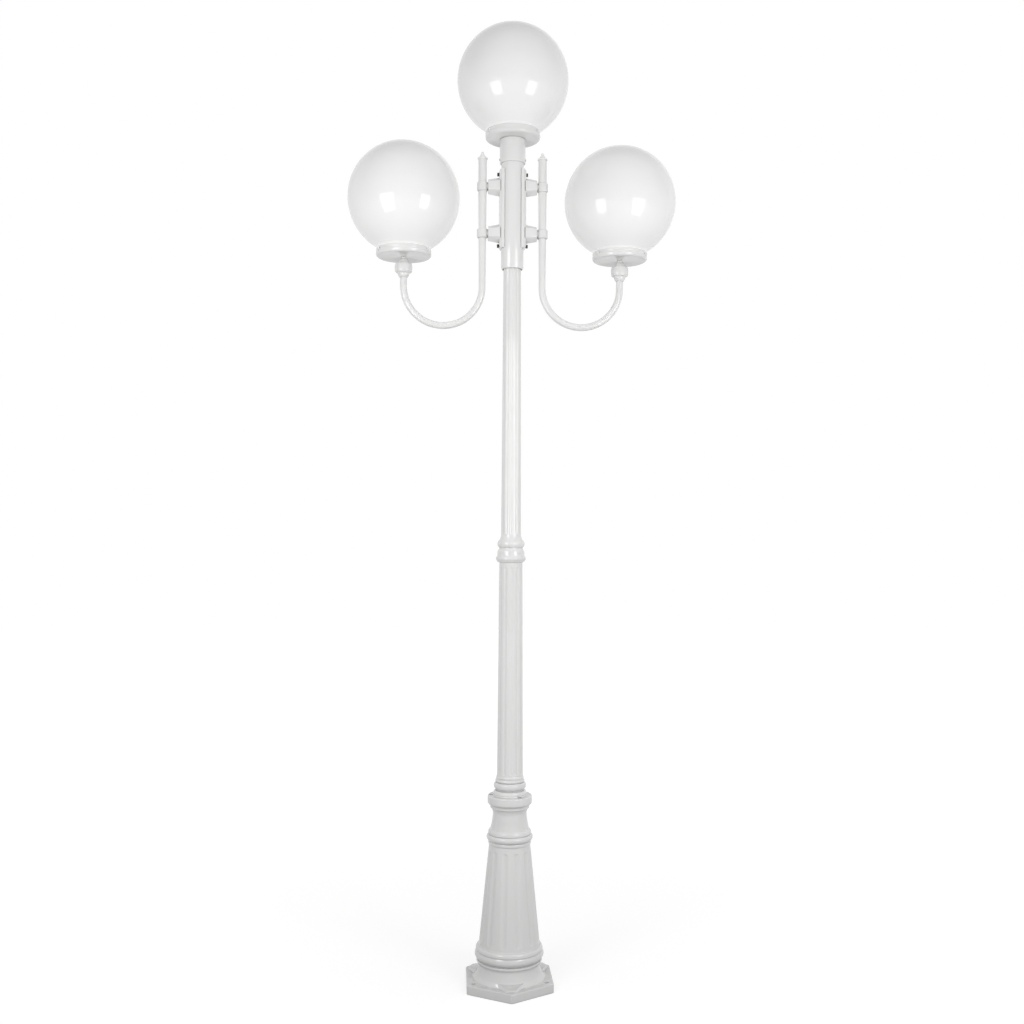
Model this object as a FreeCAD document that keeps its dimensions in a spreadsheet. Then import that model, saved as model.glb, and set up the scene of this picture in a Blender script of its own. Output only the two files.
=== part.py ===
# Triple head lamp post: a hexagonal cast foot with a fluted column base, a lower and an upper
# fluted pole, a head tube with two J-shaped side arms, and three heads, each an opal globe in a
# round fitter with its own lamp.
#
# Frame: millimetres, origin on the ground at the centre of the foot, +Z up the post, +X along the
# arms (the right-hand arm of a viewer at the front), -Y towards that viewer.

import FreeCAD, Part
import math
import os
from types import SimpleNamespace

import Sketcher
from FreeCAD import Placement, Rotation, Vector

# The driving sizes: alias, value in millimetres (or a plain count), and what it is.
SIZES = (
    # foot plate
    ("foot_height", 20.0, "thickness of the hexagonal foot plate"),
    ("foot_reach", 111.0, "centre to corner of the hexagon before its corners are rounded"),
    ("foot_half_width", 96.13, "centre to flat of the hexagon"),
    ("foot_corner_round", 8.0, "radius of the rounded vertical corners"),
    ("foot_edge_round", 2.5, "radius of the top edge"),
    ("anchor_circle", 93.5, "radius of the circle through the anchor holes"),
    ("anchor_hole", 4.5, "radius of an anchor hole"),
    ("web_root", 74.0, "how far out the root of a corner web lies"),
    ("web_tip", 99.0, "how far out the tip of a corner web lies"),
    ("web_root_foot", 38.0, "half width of the web at its root, at the plate"),
    ("web_root_crest", 20.0, "half width of the web at its root, on top"),
    ("web_tip_foot", 7.0, "half width of the web at its tip, at the plate"),
    ("web_tip_crest", 5.0, "half width of the web at its tip, on top"),
    ("web_root_height", 33.0, "top of the web at its root, above the ground"),
    ("web_tip_height", 23.0, "top of the web at its tip, above the ground"),
    ("web_sink", 2.0, "how far the webs are sunk into the plate"),
    # column base, outside
    ("skirt_foot", 84.0, "radius of the skirt where it meets the plate"),
    ("skirt_head", 73.0, "radius of the skirt under its beads"),
    ("skirt_top", 56.5, "height of the top of the skirt"),
    ("skirt_hollow", 60.0, "radius of the hollow curve of the skirt"),
    ("low_ring_height", 6.0, "height of the thin ring above the skirt"),
    ("low_ring_curve", 3.6, "radius of the thin ring's section"),
    ("low_bead_foot", 66.0, "height of the foot of the large lower bead"),
    ("low_bead_root", 74.0, "radius at the edges of the large lower bead"),
    ("low_bead_top", 84.0, "height of the top of the large lower bead"),
    ("low_bead_curve", 15.0, "radius of the large lower bead's section"),
    ("low_groove", 72.4, "radius of the grooves between the lower beads"),
    ("groove_slope", 0.5, "height over which a groove's edge slopes"),
    ("low_cap_root", 74.5, "lower radius of the bead under the taper"),
    ("low_cap_foot", 85.6, "height of the foot of the bead under the taper"),
    ("low_cap_curve", 10.5, "radius of that bead's section"),
    ("taper_foot", 68.0, "radius at the foot of the fluted taper"),
    ("taper_start", 97.5, "height of the foot of the fluted taper"),
    ("taper_head", 46.4, "radius at the head of the fluted taper"),
    ("taper_end", 316.0, "height of the head of the fluted taper"),
    ("high_ring_top", 325.0, "height of the top of the thin ring above the taper"),
    ("high_ring_curve", 6.4, "radius of that ring's section"),
    ("high_bead_root", 48.3, "radius at the edges of the upper bead"),
    ("high_bead_top", 339.0, "height of the top of the upper bead"),
    ("high_groove_depth", 1.2, "depth and height of the groove over the upper bead"),
    ("high_step", 0.8, "height of the step under the upper bead"),
    ("high_bead_curve", 7.8, "radius of the upper bead's section"),
    ("high_cap_top", 350.5, "height of the top of the small bead over it"),
    ("high_cap_root", 43.9, "radius at the top of the small bead"),
    ("high_cap_curve", 9.3, "radius of the small bead's section"),
    ("neck_radius", 37.8, "smallest radius of the neck"),
    ("neck_height", 385.0, "height of the neck"),
    ("neck_long_curve", 170.0, "radius of the long hollow below the neck"),
    ("neck_short_curve", 25.0, "radius of the short hollow above the neck"),
    ("neck_top", 397.0, "height where the neck meets the flange's step"),
    ("neck_flare", 3.6, "how much wider the neck is at its top"),
    ("casting_edge", 1.0, "bevel of the casting's small steps"),
    ("neck_step", 44.0, "radius of the thin step under the flange"),
    ("flange_foot", 405.0, "height of the underside of the flange"),
    ("flange_top", 426.0, "height of the top of the flange"),
    ("flange_radius", 50.0, "radius of the flange"),
    ("flange_under_round", 6.0, "rounding of the flange's lower edge"),
    ("flange_over_round", 4.0, "rounding of the flange's upper edge"),
    ("flange_hole", 4.25, "radius of a hole in the flange"),
    ("flange_circle", 41.0, "radius of the circle through the flange holes"),
    ("boss_radius", 36.5, "radius of the raised boss on the flange"),
    ("boss_top", 437.0, "height of the top of the boss"),
    # column base, inside
    ("hollow_foot", 70.0, "inner radius at the ground"),
    ("hollow_skirt", 66.0, "inner radius behind the skirt"),
    ("hollow_taper_foot", 60.5, "inner radius at the foot of the taper"),
    ("hollow_taper_head", 39.5, "inner radius at the head of the taper"),
    ("hollow_neck", 32.0, "inner radius in the neck"),
    ("hollow_top", 412.0, "height of the ceiling of the hollow"),
    ("low_coupling_radius", 16.0, "outer radius of the lower threaded coupling"),
    ("low_coupling_bore", 12.0, "inner radius of the lower threaded coupling"),
    ("low_coupling_foot", 396.0, "height of the foot of the lower coupling"),
    ("low_coupling_top", 466.0, "height of the top of the lower coupling"),
    ("column_nut_reach", 28.0, "centre to corner of the nut under the boss"),
    ("column_nut_foot", 402.0, "height of the underside of that nut"),
    ("lug_face", 45.0, "how far behind the axis the lug's face is"),
    ("lug_back", 65.0, "how far back the lug runs into the wall"),
    ("lug_half_width", 20.0, "half width of the lug"),
    ("lug_foot", 66.0, "height of the lug's underside"),
    ("lug_top", 94.0, "height of the lug's top"),
    ("earth_back", 55.0, "how far back the earth screw stands"),
    ("block_depth", 18.0, "depth of the terminal block"),
    ("block_foot", 69.0, "height of the terminal block's underside"),
    ("block_top", 91.0, "height of the terminal block's top"),
    ("block_screw_across", 14.0, "how far to each side the block's screws stand"),
    ("block_screw_length", 27.0, "shank length of the block's screws"),
    ("wire_entry", 1.9, "radius of the block's wire entries"),
    ("wire_pitch", 7.0, "distance between the wire entries"),
    ("small_screw", 1.6, "radius of the terminal block's fixing screws"),
    ("small_screw_head", 3.2, "head radius of those screws"),
    ("small_screw_head_height", 1.9, "head height of those screws"),
    ("earth_screw", 2.5, "radius of the earth screw"),
    ("earth_length", 11.2, "shank length of the earth screw"),
    ("earth_head", 4.5, "head radius of the earth screw"),
    ("earth_head_height", 2.2, "head height of the earth screw"),
    # flutes
    ("base_flute_foot", 99.0, "height of the lower end of the base flutes"),
    ("base_flute_top", 306.0, "height of the upper end of the base flutes"),
    ("base_flute_depth", 2.4, "depth of the base flutes"),
    ("base_flute_curve", 14.0, "radius of the base flutes' section"),
    ("base_flute_head", 47.3, "radius that the upper ends of the base flutes start from"),
    ("pole_flute_depth", 1.2, "depth of the lower pole's flutes"),
    ("pole_flute_curve", 9.0, "radius of the lower pole's flutes' section"),
    ("pole_flute_foot", 473.0, "height of the lower end of the lower pole's flutes"),
    ("pole_flute_top", 937.0, "height of the upper end of the lower pole's flutes"),
    ("top_flute_depth", 1.0, "depth of the upper pole's flutes"),
    ("top_flute_curve", 6.3, "radius of the upper pole's flutes' section"),
    ("top_flute_foot", 1010.0, "height of the lower end of the upper pole's flutes"),
    ("top_flute_head", 19.6, "radius that the upper ends of those flutes start from"),
    ("flute_count", 12.0, "flutes round each fluted piece"),
    # lower pole
    ("pole_foot_radius", 31.3, "radius of the lower pole on the boss"),
    ("pole_foot_edge", 439.0, "height of the edge over the lower pole's foot"),
    ("pole_bead_root", 33.5, "radius at the edges of the foot bead"),
    ("pole_bead_foot", 440.5, "height of the foot of the foot bead"),
    ("pole_bead_top", 452.0, "height of the top of the foot bead"),
    ("pole_bead_curve", 6.8, "radius of the foot bead's section"),
    ("pole_ring_top", 456.5, "height of the top of the thin ring over it"),
    ("pole_ring_curve", 2.6, "radius of the thin ring's section"),
    ("pole_ring_root", 32.9, "radius at the top of the thin ring"),
    ("pole_cove_curve", 22.0, "radius of the hollow above the thin ring"),
    ("pole_shaft_foot", 470.0, "height where the lower shaft starts"),
    ("pole_shaft_low", 29.2, "radius at the foot of the lower shaft"),
    ("pole_shaft_high", 26.2, "radius at the head of the lower shaft"),
    ("collar_foot", 947.0, "height of the underside of the top collar"),
    ("collar_lip", 30.2, "radius of the lip under the collar's bead"),
    ("collar_lip_top", 948.4, "height of the top of that lip"),
    ("collar_root", 31.0, "radius at the edges of the collar's bead"),
    ("collar_bead_foot", 950.5, "height of the foot of the collar's bead"),
    ("collar_bead_top", 961.5, "height of the top of the collar's bead"),
    ("collar_bead_curve", 7.0, "radius of the collar bead's section"),
    ("collar_band", 30.4, "radius of the band above the collar's bead"),
    ("collar_band_foot", 963.0, "height of the foot of that band"),
    ("collar_band_top", 969.5, "height of the top of that band"),
    ("collar_cove_curve", 12.0, "radius of the collar's rounded shoulder"),
    ("collar_cove_top", 978.0, "height of the top of that shoulder"),
    ("pole_top", 980.0, "height of the joint between the poles"),
    ("pole_top_radius", 26.4, "radius of the poles at their joint"),
    ("pole_bore", 22.0, "bore radius of the lower pole"),
    ("pole_bore_foot", 468.0, "height where the lower pole's bore widens"),
    ("pole_bore_top", 942.0, "height where the lower pole's bore narrows"),
    ("pole_bore_slope", 8.0, "height over which the lower pole's bore changes"),
    ("mid_coupling_radius", 14.0, "outer radius of the middle threaded coupling"),
    ("mid_coupling_bore", 10.0, "inner radius of the middle threaded coupling"),
    ("mid_coupling_foot", 952.0, "height of the foot of the middle coupling"),
    ("mid_coupling_top", 1006.0, "height of the top of the middle coupling"),
    # upper pole
    ("shaft_ring_foot", 981.6, "height of the foot of the upper pole's bead"),
    ("shaft_ring_root", 28.0, "radius at the edges of that bead"),
    ("shaft_ring_top", 995.5, "height of the top of that bead"),
    ("shaft_ring_curve", 10.4, "radius of that bead's section"),
    ("shaft_cove_foot", 23.2, "radius under the upper shaft"),
    ("shaft_cove_top", 1005.0, "height of the top of the cone under the upper shaft"),
    ("shaft_cove_curve", 16.0, "radius of that hollow cone's section"),
    ("shaft_start", 1008.0, "height where the upper shaft starts"),
    ("shaft_low", 22.3, "radius at the foot of the upper shaft"),
    ("shaft_high", 19.8, "radius at the head of the upper shaft"),
    ("shaft_bore", 15.5, "bore radius of the upper pole"),
    ("shaft_bore_foot", 1012.0, "height where the upper pole's bore widens"),
    ("shaft_bore_step", 1008.0, "height where that widening starts"),
    ("shaft_foot_edge", 980.8, "height of the edge over the upper pole's foot"),
    ("shaft_flute_top", 1650.0, "height of the hidden upper end of its flutes"),
    ("shaft_top", 1700.0, "top of the upper pole inside the head tube"),
    # head tube and its cap
    ("tube_radius", 25.2, "outer radius of the head tube"),
    ("tube_bore", 21.5, "inner radius of the head tube"),
    ("tube_lip", 23.6, "radius of the head tube's chamfered lower lip"),
    ("tube_foot", 1605.0, "height of the bottom of the head tube"),
    ("tube_lip_top", 1610.0, "height of the top of the chamfer"),
    ("tube_top", 1888.0, "height of the top of the head tube"),
    ("wire_hole", 5.0, "radius of the wiring holes in the head tube"),
    ("cross_bore_length", 64.0, "length of a bore through both walls of a tube"),
    ("sleeve_radius", 28.9, "outer radius of the post-top sleeve"),
    ("sleeve_bore", 25.3, "inner radius of the post-top sleeve"),
    ("sleeve_foot", 1842.0, "height of the bottom of the sleeve"),
    ("sleeve_edge", 1.2, "chamfer of the sleeve's edges"),
    ("sleeve_screw_height", 1851.0, "height of the sleeve's set screws"),
    ("sleeve_screw_length", 4.5, "length of the sleeve's set screws"),
    ("set_screw", 2.5, "radius of the set screws"),
    ("set_screw_socket", 1.4, "centre to corner of a set screw's socket"),
    ("ring_screw_proud", 0.4, "how far the rings' set screws stand proud"),
    ("overcut", 1.0, "how far a cut runs past the face it opens"),
    # arm brackets
    ("saddle_face", 30.0, "distance from the post's axis to the saddle's face"),
    ("saddle_wing", 18.5, "distance from the post's axis to the tips of its wings"),
    ("saddle_half_width", 19.5, "half width of the saddle, front to back"),
    ("saddle_corner", 6.0, "slope of the saddle's long corners"),
    ("saddle_seat", 25.25, "radius of the saddle's seat on the head tube"),
    ("saddle_foot", 1651.0, "height of the saddle's lower end"),
    ("saddle_top", 1828.0, "height of the saddle's upper end"),
    ("saddle_bevel", 4.0, "chamfer at the saddle's ends"),
    ("boss_high", 1790.0, "height of the upper boss"),
    ("boss_low", 1685.0, "height of the lower boss"),
    ("boss_root_reach", 21.8, "centre to corner of a boss at the saddle"),
    ("boss_tip_reach", 17.0, "centre to corner of a boss at its outer end"),
    ("boss_end", 55.0, "distance from the post's axis to the outer end of a boss"),
    ("boss_neck", 8.5, "radius of the neck between boss and ring"),
    ("boss_wire_bore", 4.5, "radius of the wiring bore through the upper boss"),
    ("ring_radius", 12.2, "outer radius of the rings round the arms"),
    ("ring_height", 20.0, "height of the rings round the arms"),
    ("ring_edge", 1.5, "chamfer of the rings"),
    ("ring_bore_high", 9.45, "bore radius of the upper rings"),
    ("ring_bore_low", 8.75, "bore radius of the lower rings"),
    ("bolt_high", 1818.0, "height of the upper bracket bolts"),
    ("bolt_low", 1657.5, "height of the lower bracket bolts"),
    ("bolt_shank", 3.0, "shank radius of a bracket bolt"),
    ("bolt_head", 5.0, "head radius of a bracket bolt"),
    ("bolt_head_height", 5.5, "head height of a bracket bolt"),
    ("bolt_socket", 2.7, "centre to corner of a bolt's socket"),
    ("bolt_tip", 19.9, "distance from the post's axis to the bolts' tips"),
    # arms
    ("arm_leg", 67.5, "distance from the post's axis to an arm's upright"),
    ("arm_turn", 87.85, "radius of the arm's half turn"),
    ("arm_turn_height", 1565.0, "height of the centre of the half turn"),
    ("arm_thin", 7.7, "outer radius of the bent tube"),
    ("arm_thin_bore", 6.2, "inner radius of the bent tube"),
    ("arm_thick", 9.4, "outer radius of the upright's thick end"),
    ("arm_thick_bore", 7.9, "inner radius of the upright's thick end"),
    ("arm_taper_foot", 1590.0, "height where the upright starts to widen"),
    ("arm_taper_top", 1780.0, "height where it has its full width"),
    ("arm_top", 1852.0, "height of the top of the upright"),
    ("arm_wire_hole", 4.0, "radius of the wiring hole in the upright"),
    ("finial_disc", 11.5, "radius of the finial's disc"),
    ("finial_spigot", 7.8, "radius of the finial's spigot"),
    ("finial_spigot_length", 8.0, "how deep the finial's spigot stands in the arm"),
    ("finial_rim", 2.0, "height of the finial's disc at its rim"),
    ("finial_dome_curve", 9.0, "radius of the domed top of the disc"),
    ("finial_dome_radius", 6.6, "radius at the top of the dome"),
    ("finial_dome_top", 5.6, "height of the top of the dome above the arm"),
    ("finial_bulb_radius", 5.9, "radius at the foot of the finial's bulb"),
    ("finial_bulb_foot", 6.4, "height of the foot of the bulb above the arm"),
    ("finial_bulb_curve", 3.4, "radius of the bulb's section"),
    ("finial_waist", 2.8, "radius of the waist between bulb and ball"),
    ("finial_ball", 3.6, "radius of the finial's ball"),
    ("finial_ball_height", 12.6, "height of the ball's centre above the arm"),
    # heads, measured from the underside of the fitter
    ("side_head", 1628.0, "height of the underside of the side fitters"),
    ("knuckle_foot", 45.0, "depth of the knuckle's foot below the fitter"),
    ("knuckle_waist", 35.5, "depth of the foot of its barrel below the fitter"),
    ("knuckle_top", 12.5, "depth of the top of its barrel below the fitter"),
    ("knuckle_foot_radius", 10.7, "radius of the knuckle's foot"),
    ("knuckle_waist_radius", 17.0, "radius at the top of its cone"),
    ("knuckle_radius", 20.6, "radius of its barrel"),
    ("knuckle_edge", 3.0, "chamfer of its barrel"),
    ("riser_depth", 25.0, "depth of the end of the arm's tube below the fitter"),
    ("riser_chamfer", 1.0, "chamfer between the knuckle's two bores"),
    ("dome_radius", 13.4, "radius of the dome between knuckle and fitter"),
    ("dome_rim", 5.0, "height of the dome's straight rim"),
    ("dome_crown", 7.0, "radius of the dome under the fitter"),
    ("dome_curve", 12.0, "radius of the dome's section"),
    ("nipple_radius", 5.0, "outer radius of the threaded wiring tube"),
    ("nipple_bore", 3.5, "inner radius of the threaded wiring tube"),
    ("nipple_top", 16.0, "top of the threaded wiring tube"),
    ("nipple_low_side", 20.0, "depth of its lower end in a side head"),
    ("top_head", 1896.0, "height of the underside of the top fitter"),
    ("fitter_radius", 62.0, "outer radius of the fitter"),
    ("fitter_height", 18.0, "height of the fitter"),
    ("fitter_wall", 2.5, "thickness of the fitter's wall"),
    ("fitter_floor", 3.0, "thickness of the fitter's floor"),
    ("fitter_round", 7.0, "rounding of the fitter's lower edge"),
    ("nut_reach", 9.8, "centre to corner of the nut in the fitter"),
    ("nut_top", 8.0, "top of the nut in the fitter"),
    ("gasket_inner", 45.0, "inner radius of the gasket"),
    ("gasket_outer", 51.5, "outer radius of the gasket"),
    ("gasket_top", 5.2, "top of the gasket"),
    ("neck_screw_height", 11.5, "height of the screws in the fitter's wall"),
    ("neck_screw_tip", 50.5, "distance from the axis to the tips of those screws"),
    ("neck_screw_head", 4.2, "head radius of those screws"),
    ("neck_screw_head_height", 2.6, "head height of those screws"),
    ("neck_screw_crown", 2.9, "radius of the flat top of those heads"),
    ("globe_radius", 125.0, "outer radius of the globe"),
    ("globe_wall", 3.0, "thickness of the globe"),
    ("globe_centre", 132.0, "height of the globe's centre"),
    ("globe_neck", 50.0, "outer radius of the globe's neck"),
    ("globe_neck_foot", 5.5, "height of the lower end of the neck"),
    ("holder_radius", 20.0, "outer radius of the lamp holder"),
    ("holder_foot_radius", 16.5, "radius of the lamp holder's foot"),
    ("holder_shoulder", 15.0, "height where the holder has its full width"),
    ("holder_well", 22.0, "height of the floor of the holder's well"),
    ("holder_top", 52.0, "top of the lamp holder"),
    ("holder_edge", 1.5, "bevel of the lamp holder's rim"),
    ("holder_flare", 0.6, "how much wider the well is at its mouth"),
    ("contact_outer", 14.3, "outer radius of the threaded contact shell"),
    ("contact_inner", 13.5, "inner radius of the threaded contact shell"),
    ("contact_foot", 24.0, "height of the foot of the contact shell"),
    ("contact_top", 49.0, "height of the top of the contact shell"),
    ("cap_radius", 13.1, "radius of the lamp's screw cap"),
    ("cap_foot", 25.0, "height of the lamp's end contact"),
    ("cap_contact", 4.6, "radius of the end contact"),
    ("cap_cone", 7.9, "radius of the insulator round it"),
    ("cap_cone_height", 1.6, "height of that insulator"),
    ("cap_shoulder", 29.0, "height where the screw cap has its full width"),
    ("cap_top", 53.0, "height of the top of the screw cap"),
    ("lamp_collar", 15.5, "radius of the lamp's collar"),
    ("lamp_collar_slope", 1.5, "bevel of the lamp's collar"),
    ("lamp_collar_top", 60.0, "height of the top of the lamp's collar"),
    ("lamp_radius", 30.0, "radius of the lamp's bulb"),
    ("lamp_widest", 105.0, "height where the bulb is widest"),
    ("lamp_flank_curve", 95.0, "radius of the hollow curve of the bulb's flank"),
)

SIDES = (("left", -1), ("right", 1))
SCREW_TURNS = (90.0, 210.0, 330.0)
BASE_FLUTE_TURN = 15.0  # puts a ridge, not a flute, at the front of the base


class Size:
    """A size of the sheet, or a sum or product of such sizes: its value and its formula."""

    def __init__(self, value, formula):
        self.value = value
        self.formula = formula

    def joined(self, sign, other, value):
        formula = other.formula if isinstance(other, Size) else repr(float(other))
        return Size(value, f"({self.formula} {sign} {formula})")

    def __add__(self, other):
        return self.joined("+", other, self.value + value_of(other))

    def __sub__(self, other):
        return self.joined("-", other, self.value - value_of(other))

    def __mul__(self, other):
        return self.joined("*", other, self.value * value_of(other))

    def __neg__(self):
        return self * -1.0

    __rmul__ = __mul__


def value_of(size):
    return size.value if isinstance(size, Size) else float(size)


document = FreeCAD.newDocument("LampPost")
pieces = []


def fill_sheet():
    """Write the driving sizes to the sheet and return them as Size objects."""
    sheet = document.addObject("Spreadsheet::Sheet", "Sizes")
    sizes = SimpleNamespace()
    for row, (alias, value, note) in enumerate(SIZES, start=1):
        sheet.set(f"A{row}", alias)
        sheet.set(f"B{row}", str(value))
        sheet.set(f"C{row}", note)
        sheet.setAlias(f"B{row}", alias)
        setattr(sizes, alias, Size(value, f"Sizes.{alias}"))
    document.recompute()
    return sizes


size = fill_sheet()


# ---------------------------------------------------------------- sketch and feature helpers

def bind(target, path, wanted):
    """Tie a property to the sheet; a plain zero needs no formula."""
    if isinstance(wanted, Size):
        target.setExpression(path, wanted.formula)


def place(target, across=0, back=0, up=0):
    for axis, wanted in (("x", across), ("y", back), ("z", up)):
        bind(target, f"Placement.Base.{axis}", wanted)


def new_piece(kind, label):
    piece = document.addObject(kind, label)
    piece.Label = label
    return piece


def new_body(label):
    body = new_piece("PartDesign::Body", label)
    pieces.append(body)
    return body


def origin_part(body, role):
    return next(part for part in body.Origin.OriginFeatures if part.Role == role)


def new_sketch(body, name, plane, lift, turn):
    """An empty sketch on one of the body's own planes, moved along its normal and turned."""
    sketch = body.newObject("Sketcher::SketchObject", name)
    sketch.AttachmentSupport = [(origin_part(body, plane), "")]
    sketch.MapMode = "FlatFace"
    sketch.AttachmentOffset = Placement(Vector(0, 0, value_of(lift)), Rotation(Vector(0, 1, 0), turn))
    bind(sketch, "AttachmentOffset.Base.z", lift)
    return sketch


def bulge(side, radius):
    """The edge that arrives here is an arc: side 1 swells to the right of its run, -1 to the left."""
    return side, radius


def arc_middle(start, end, side, radius):
    chord = end - start
    half = chord.Length / 2
    rise = radius - math.sqrt(max(radius * radius - half * half, 0.0))
    right = Vector(chord.y, -chord.x, 0).normalize()
    return (start + end) / 2 + right * (side * rise)


def fix_point(edge, end, across, up):
    """Constraints, with their sizes, that hold one end of an edge at a place in the sketch."""
    held = []
    for kind, axis, wanted in (("DistanceX", -2, across), ("DistanceY", -1, up)):
        if isinstance(wanted, Size):
            held.append((Sketcher.Constraint(kind, -1, 1, edge, end, wanted.value), wanted))
        else:
            held.append((Sketcher.Constraint("PointOnObject", edge, end, axis), None))
    return held


def hold(sketch, held):
    """Add the constraints to the sketch and tie each sized one to the sheet."""
    for constraint, wanted in held:
        index = sketch.addConstraint(constraint)
        bind(sketch, f"Constraints[{index}]", wanted)


def draw(body, name, plane, corners, lift=0, turn=0.0, closed=True):
    """An outline through corners (across, up[, bulge]), each held by sizes of the sheet."""
    sketch = new_sketch(body, name, plane, lift, turn)
    points = [Vector(value_of(corner[0]), value_of(corner[1]), 0) for corner in corners]
    held = []
    ends = {}
    for index in range(0 if closed else 1, len(corners)):
        start, end = points[index - 1], points[index]
        swell = corners[index][2] if len(corners[index]) == 3 else None
        if swell:
            middle = arc_middle(start, end, swell[0], value_of(swell[1]))
            edge = sketch.addGeometry(Part.Arc(start, middle, end), False)
            held.append((Sketcher.Constraint("Radius", edge, value_of(swell[1])), swell[1]))
        else:
            edge = sketch.addGeometry(Part.LineSegment(start, end), False)
        start_end = 1 if sketch.getPoint(edge, 1).distanceToPoint(start) < 1e-6 else 2
        ends.setdefault((index - 1) % len(corners), []).append((edge, start_end))
        ends.setdefault(index, []).append((edge, 3 - start_end))
    for index, meeting in sorted(ends.items()):
        edge, end = meeting[0]
        held += fix_point(edge, end, corners[index][0], corners[index][1])
        if len(meeting) == 2:
            held.append((Sketcher.Constraint("Coincident", edge, end, *meeting[1]), None))
    hold(sketch, held)
    return sketch


def draw_circles(body, name, plane, circles, lift=0, turn=0.0):
    """Circles (across, up, radius), each held by sizes of the sheet."""
    sketch = new_sketch(body, name, plane, lift, turn)
    for across, up, radius in circles:
        centre = Vector(value_of(across), value_of(up), 0)
        edge = sketch.addGeometry(Part.Circle(centre, Vector(0, 0, 1), value_of(radius)), False)
        held = fix_point(edge, 3, across, up)
        held.append((Sketcher.Constraint("Radius", edge, value_of(radius)), radius))
        hold(sketch, held)
    return sketch


def add_feature(body, kind, name, profile):
    feature = body.newObject(kind, name)
    feature.Profile = profile
    body.Tip = feature
    return feature


def spin(body, name, profile, cut=False, axis="V_Axis"):
    """Turn an outline once round an axis of its sketch, adding or removing material."""
    kind = "PartDesign::Groove" if cut else "PartDesign::Revolution"
    feature = add_feature(body, kind, name, profile)
    feature.ReferenceAxis = (profile, [axis])
    feature.Angle = 360.0
    return feature


def pad(body, name, profile, length, backwards=False):
    feature = add_feature(body, "PartDesign::Pad", name, profile)
    bind(feature, "Length", length)
    feature.Reversed = backwards
    return feature


def pocket(body, name, profile, length, backwards=False):
    """Cut against the sketch's normal, or along it when backwards, and prove that it cut."""
    document.recompute()
    before = body.Shape.Volume
    feature = add_feature(body, "PartDesign::Pocket", name, profile)
    bind(feature, "Length", length)
    feature.Reversed = backwards
    document.recompute()
    if body.Shape.Volume > before - 1.0:
        raise ValueError(f"{name} cuts nothing")
    return feature


def loft(body, name, first, last):
    feature = add_feature(body, "PartDesign::AdditiveLoft", name, first)
    feature.Sections = [last]
    feature.Ruled = True
    return feature


def repeat(body, name, features, count):
    """Repeat features round the body's upright axis."""
    pattern = body.newObject("PartDesign::PolarPattern", name)
    pattern.Originals = features
    pattern.Axis = (origin_part(body, "Z_Axis"), [""])
    pattern.Angle = 360.0
    if isinstance(count, Size):
        bind(pattern, "Occurrences", count)
    else:
        pattern.Occurrences = count
    body.Tip = pattern
    return pattern


def edge_names(shape, wanted):
    return [f"Edge{index}" for index, edge in enumerate(shape.Edges, start=1) if wanted(edge)]


def soften(body, kind, name, base, wanted, amount):
    """Fillet or chamfer the edges of the base feature that the test picks."""
    document.recompute()
    feature = body.newObject(kind, name)
    feature.Base = (base, edge_names(base.Shape, wanted))
    bind(feature, "Radius" if kind == "PartDesign::Fillet" else "Size", amount)
    body.Tip = feature
    return feature


def turned(label, corners, across=0, up=0):
    """A piece turned from one outline, standing at its place on the post."""
    body = new_body(label)
    spin(body, f"{label}_turning", draw(body, f"{label}_outline", "XZ_Plane", corners))
    place(body, across=across, up=up)
    return body


def flute(body, name, foot, top, depth, curve, turn):
    """Flutes with rounded ends down a tapering surface; foot and top are its (radius, height)."""
    outward = curve - depth
    low = (foot[0] + outward, foot[1])
    high = (top[0] + outward, top[1])
    sketch = new_sketch(body, f"{name}_outline", "XZ_Plane", 0, turn)
    start = Vector(value_of(low[0]), value_of(low[1]), 0)
    end = Vector(value_of(high[0]), value_of(high[1]), 0)
    along = (end - start).normalize()
    inward = Vector(-along.y, along.x, 0) * value_of(curve)
    along = along * value_of(curve)
    low_side = start + along + inward
    high_side = end - along + inward
    slant = along * math.sqrt(0.5)
    steep = inward * math.sqrt(0.5)
    axis = sketch.addGeometry(Part.LineSegment(start, end), False)
    low_arc = sketch.addGeometry(Part.Arc(start, start + along - slant + steep, low_side), False)
    side = sketch.addGeometry(Part.LineSegment(low_side, high_side), False)
    high_arc = sketch.addGeometry(Part.Arc(high_side, end - along + slant + steep, end), False)

    def end_at(edge, point):
        return 1 if sketch.getPoint(edge, 1).distanceToPoint(point) < 1e-6 else 2

    held = fix_point(axis, 1, *low) + fix_point(axis, 2, *high)
    held += [
        (Sketcher.Constraint("Coincident", axis, 1, low_arc, end_at(low_arc, start)), None),
        (Sketcher.Constraint("Coincident", axis, 2, high_arc, end_at(high_arc, end)), None),
        (Sketcher.Constraint("Tangent", low_arc, end_at(low_arc, low_side), side, 1), None),
        (Sketcher.Constraint("Tangent", high_arc, end_at(high_arc, high_side), side, 2), None),
        (Sketcher.Constraint("PointOnObject", low_arc, 3, axis), None),
        (Sketcher.Constraint("PointOnObject", high_arc, 3, axis), None),
        (Sketcher.Constraint("Radius", low_arc, value_of(curve)), curve),
    ]
    hold(sketch, held)
    groove = spin(body, f"{name}_groove", sketch, cut=True, axis="Edge1")
    return repeat(body, f"{name}_round", [groove], size.flute_count)


# ---------------------------------------------------------------- plain solids for small pieces

def solid(kind, name, across=0, back=0, up=0, turn=None, **properties):
    """A plain solid whose sizes and place are tied to the sheet; turn is its rotation."""
    part = document.addObject(kind, name)
    for key, wanted in properties.items():
        if isinstance(wanted, Size):
            bind(part, key, wanted)
        else:
            setattr(part, key, wanted)
    if turn:
        part.Placement = Placement(Vector(), turn)
    place(part, across, back, up)
    return part


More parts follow.
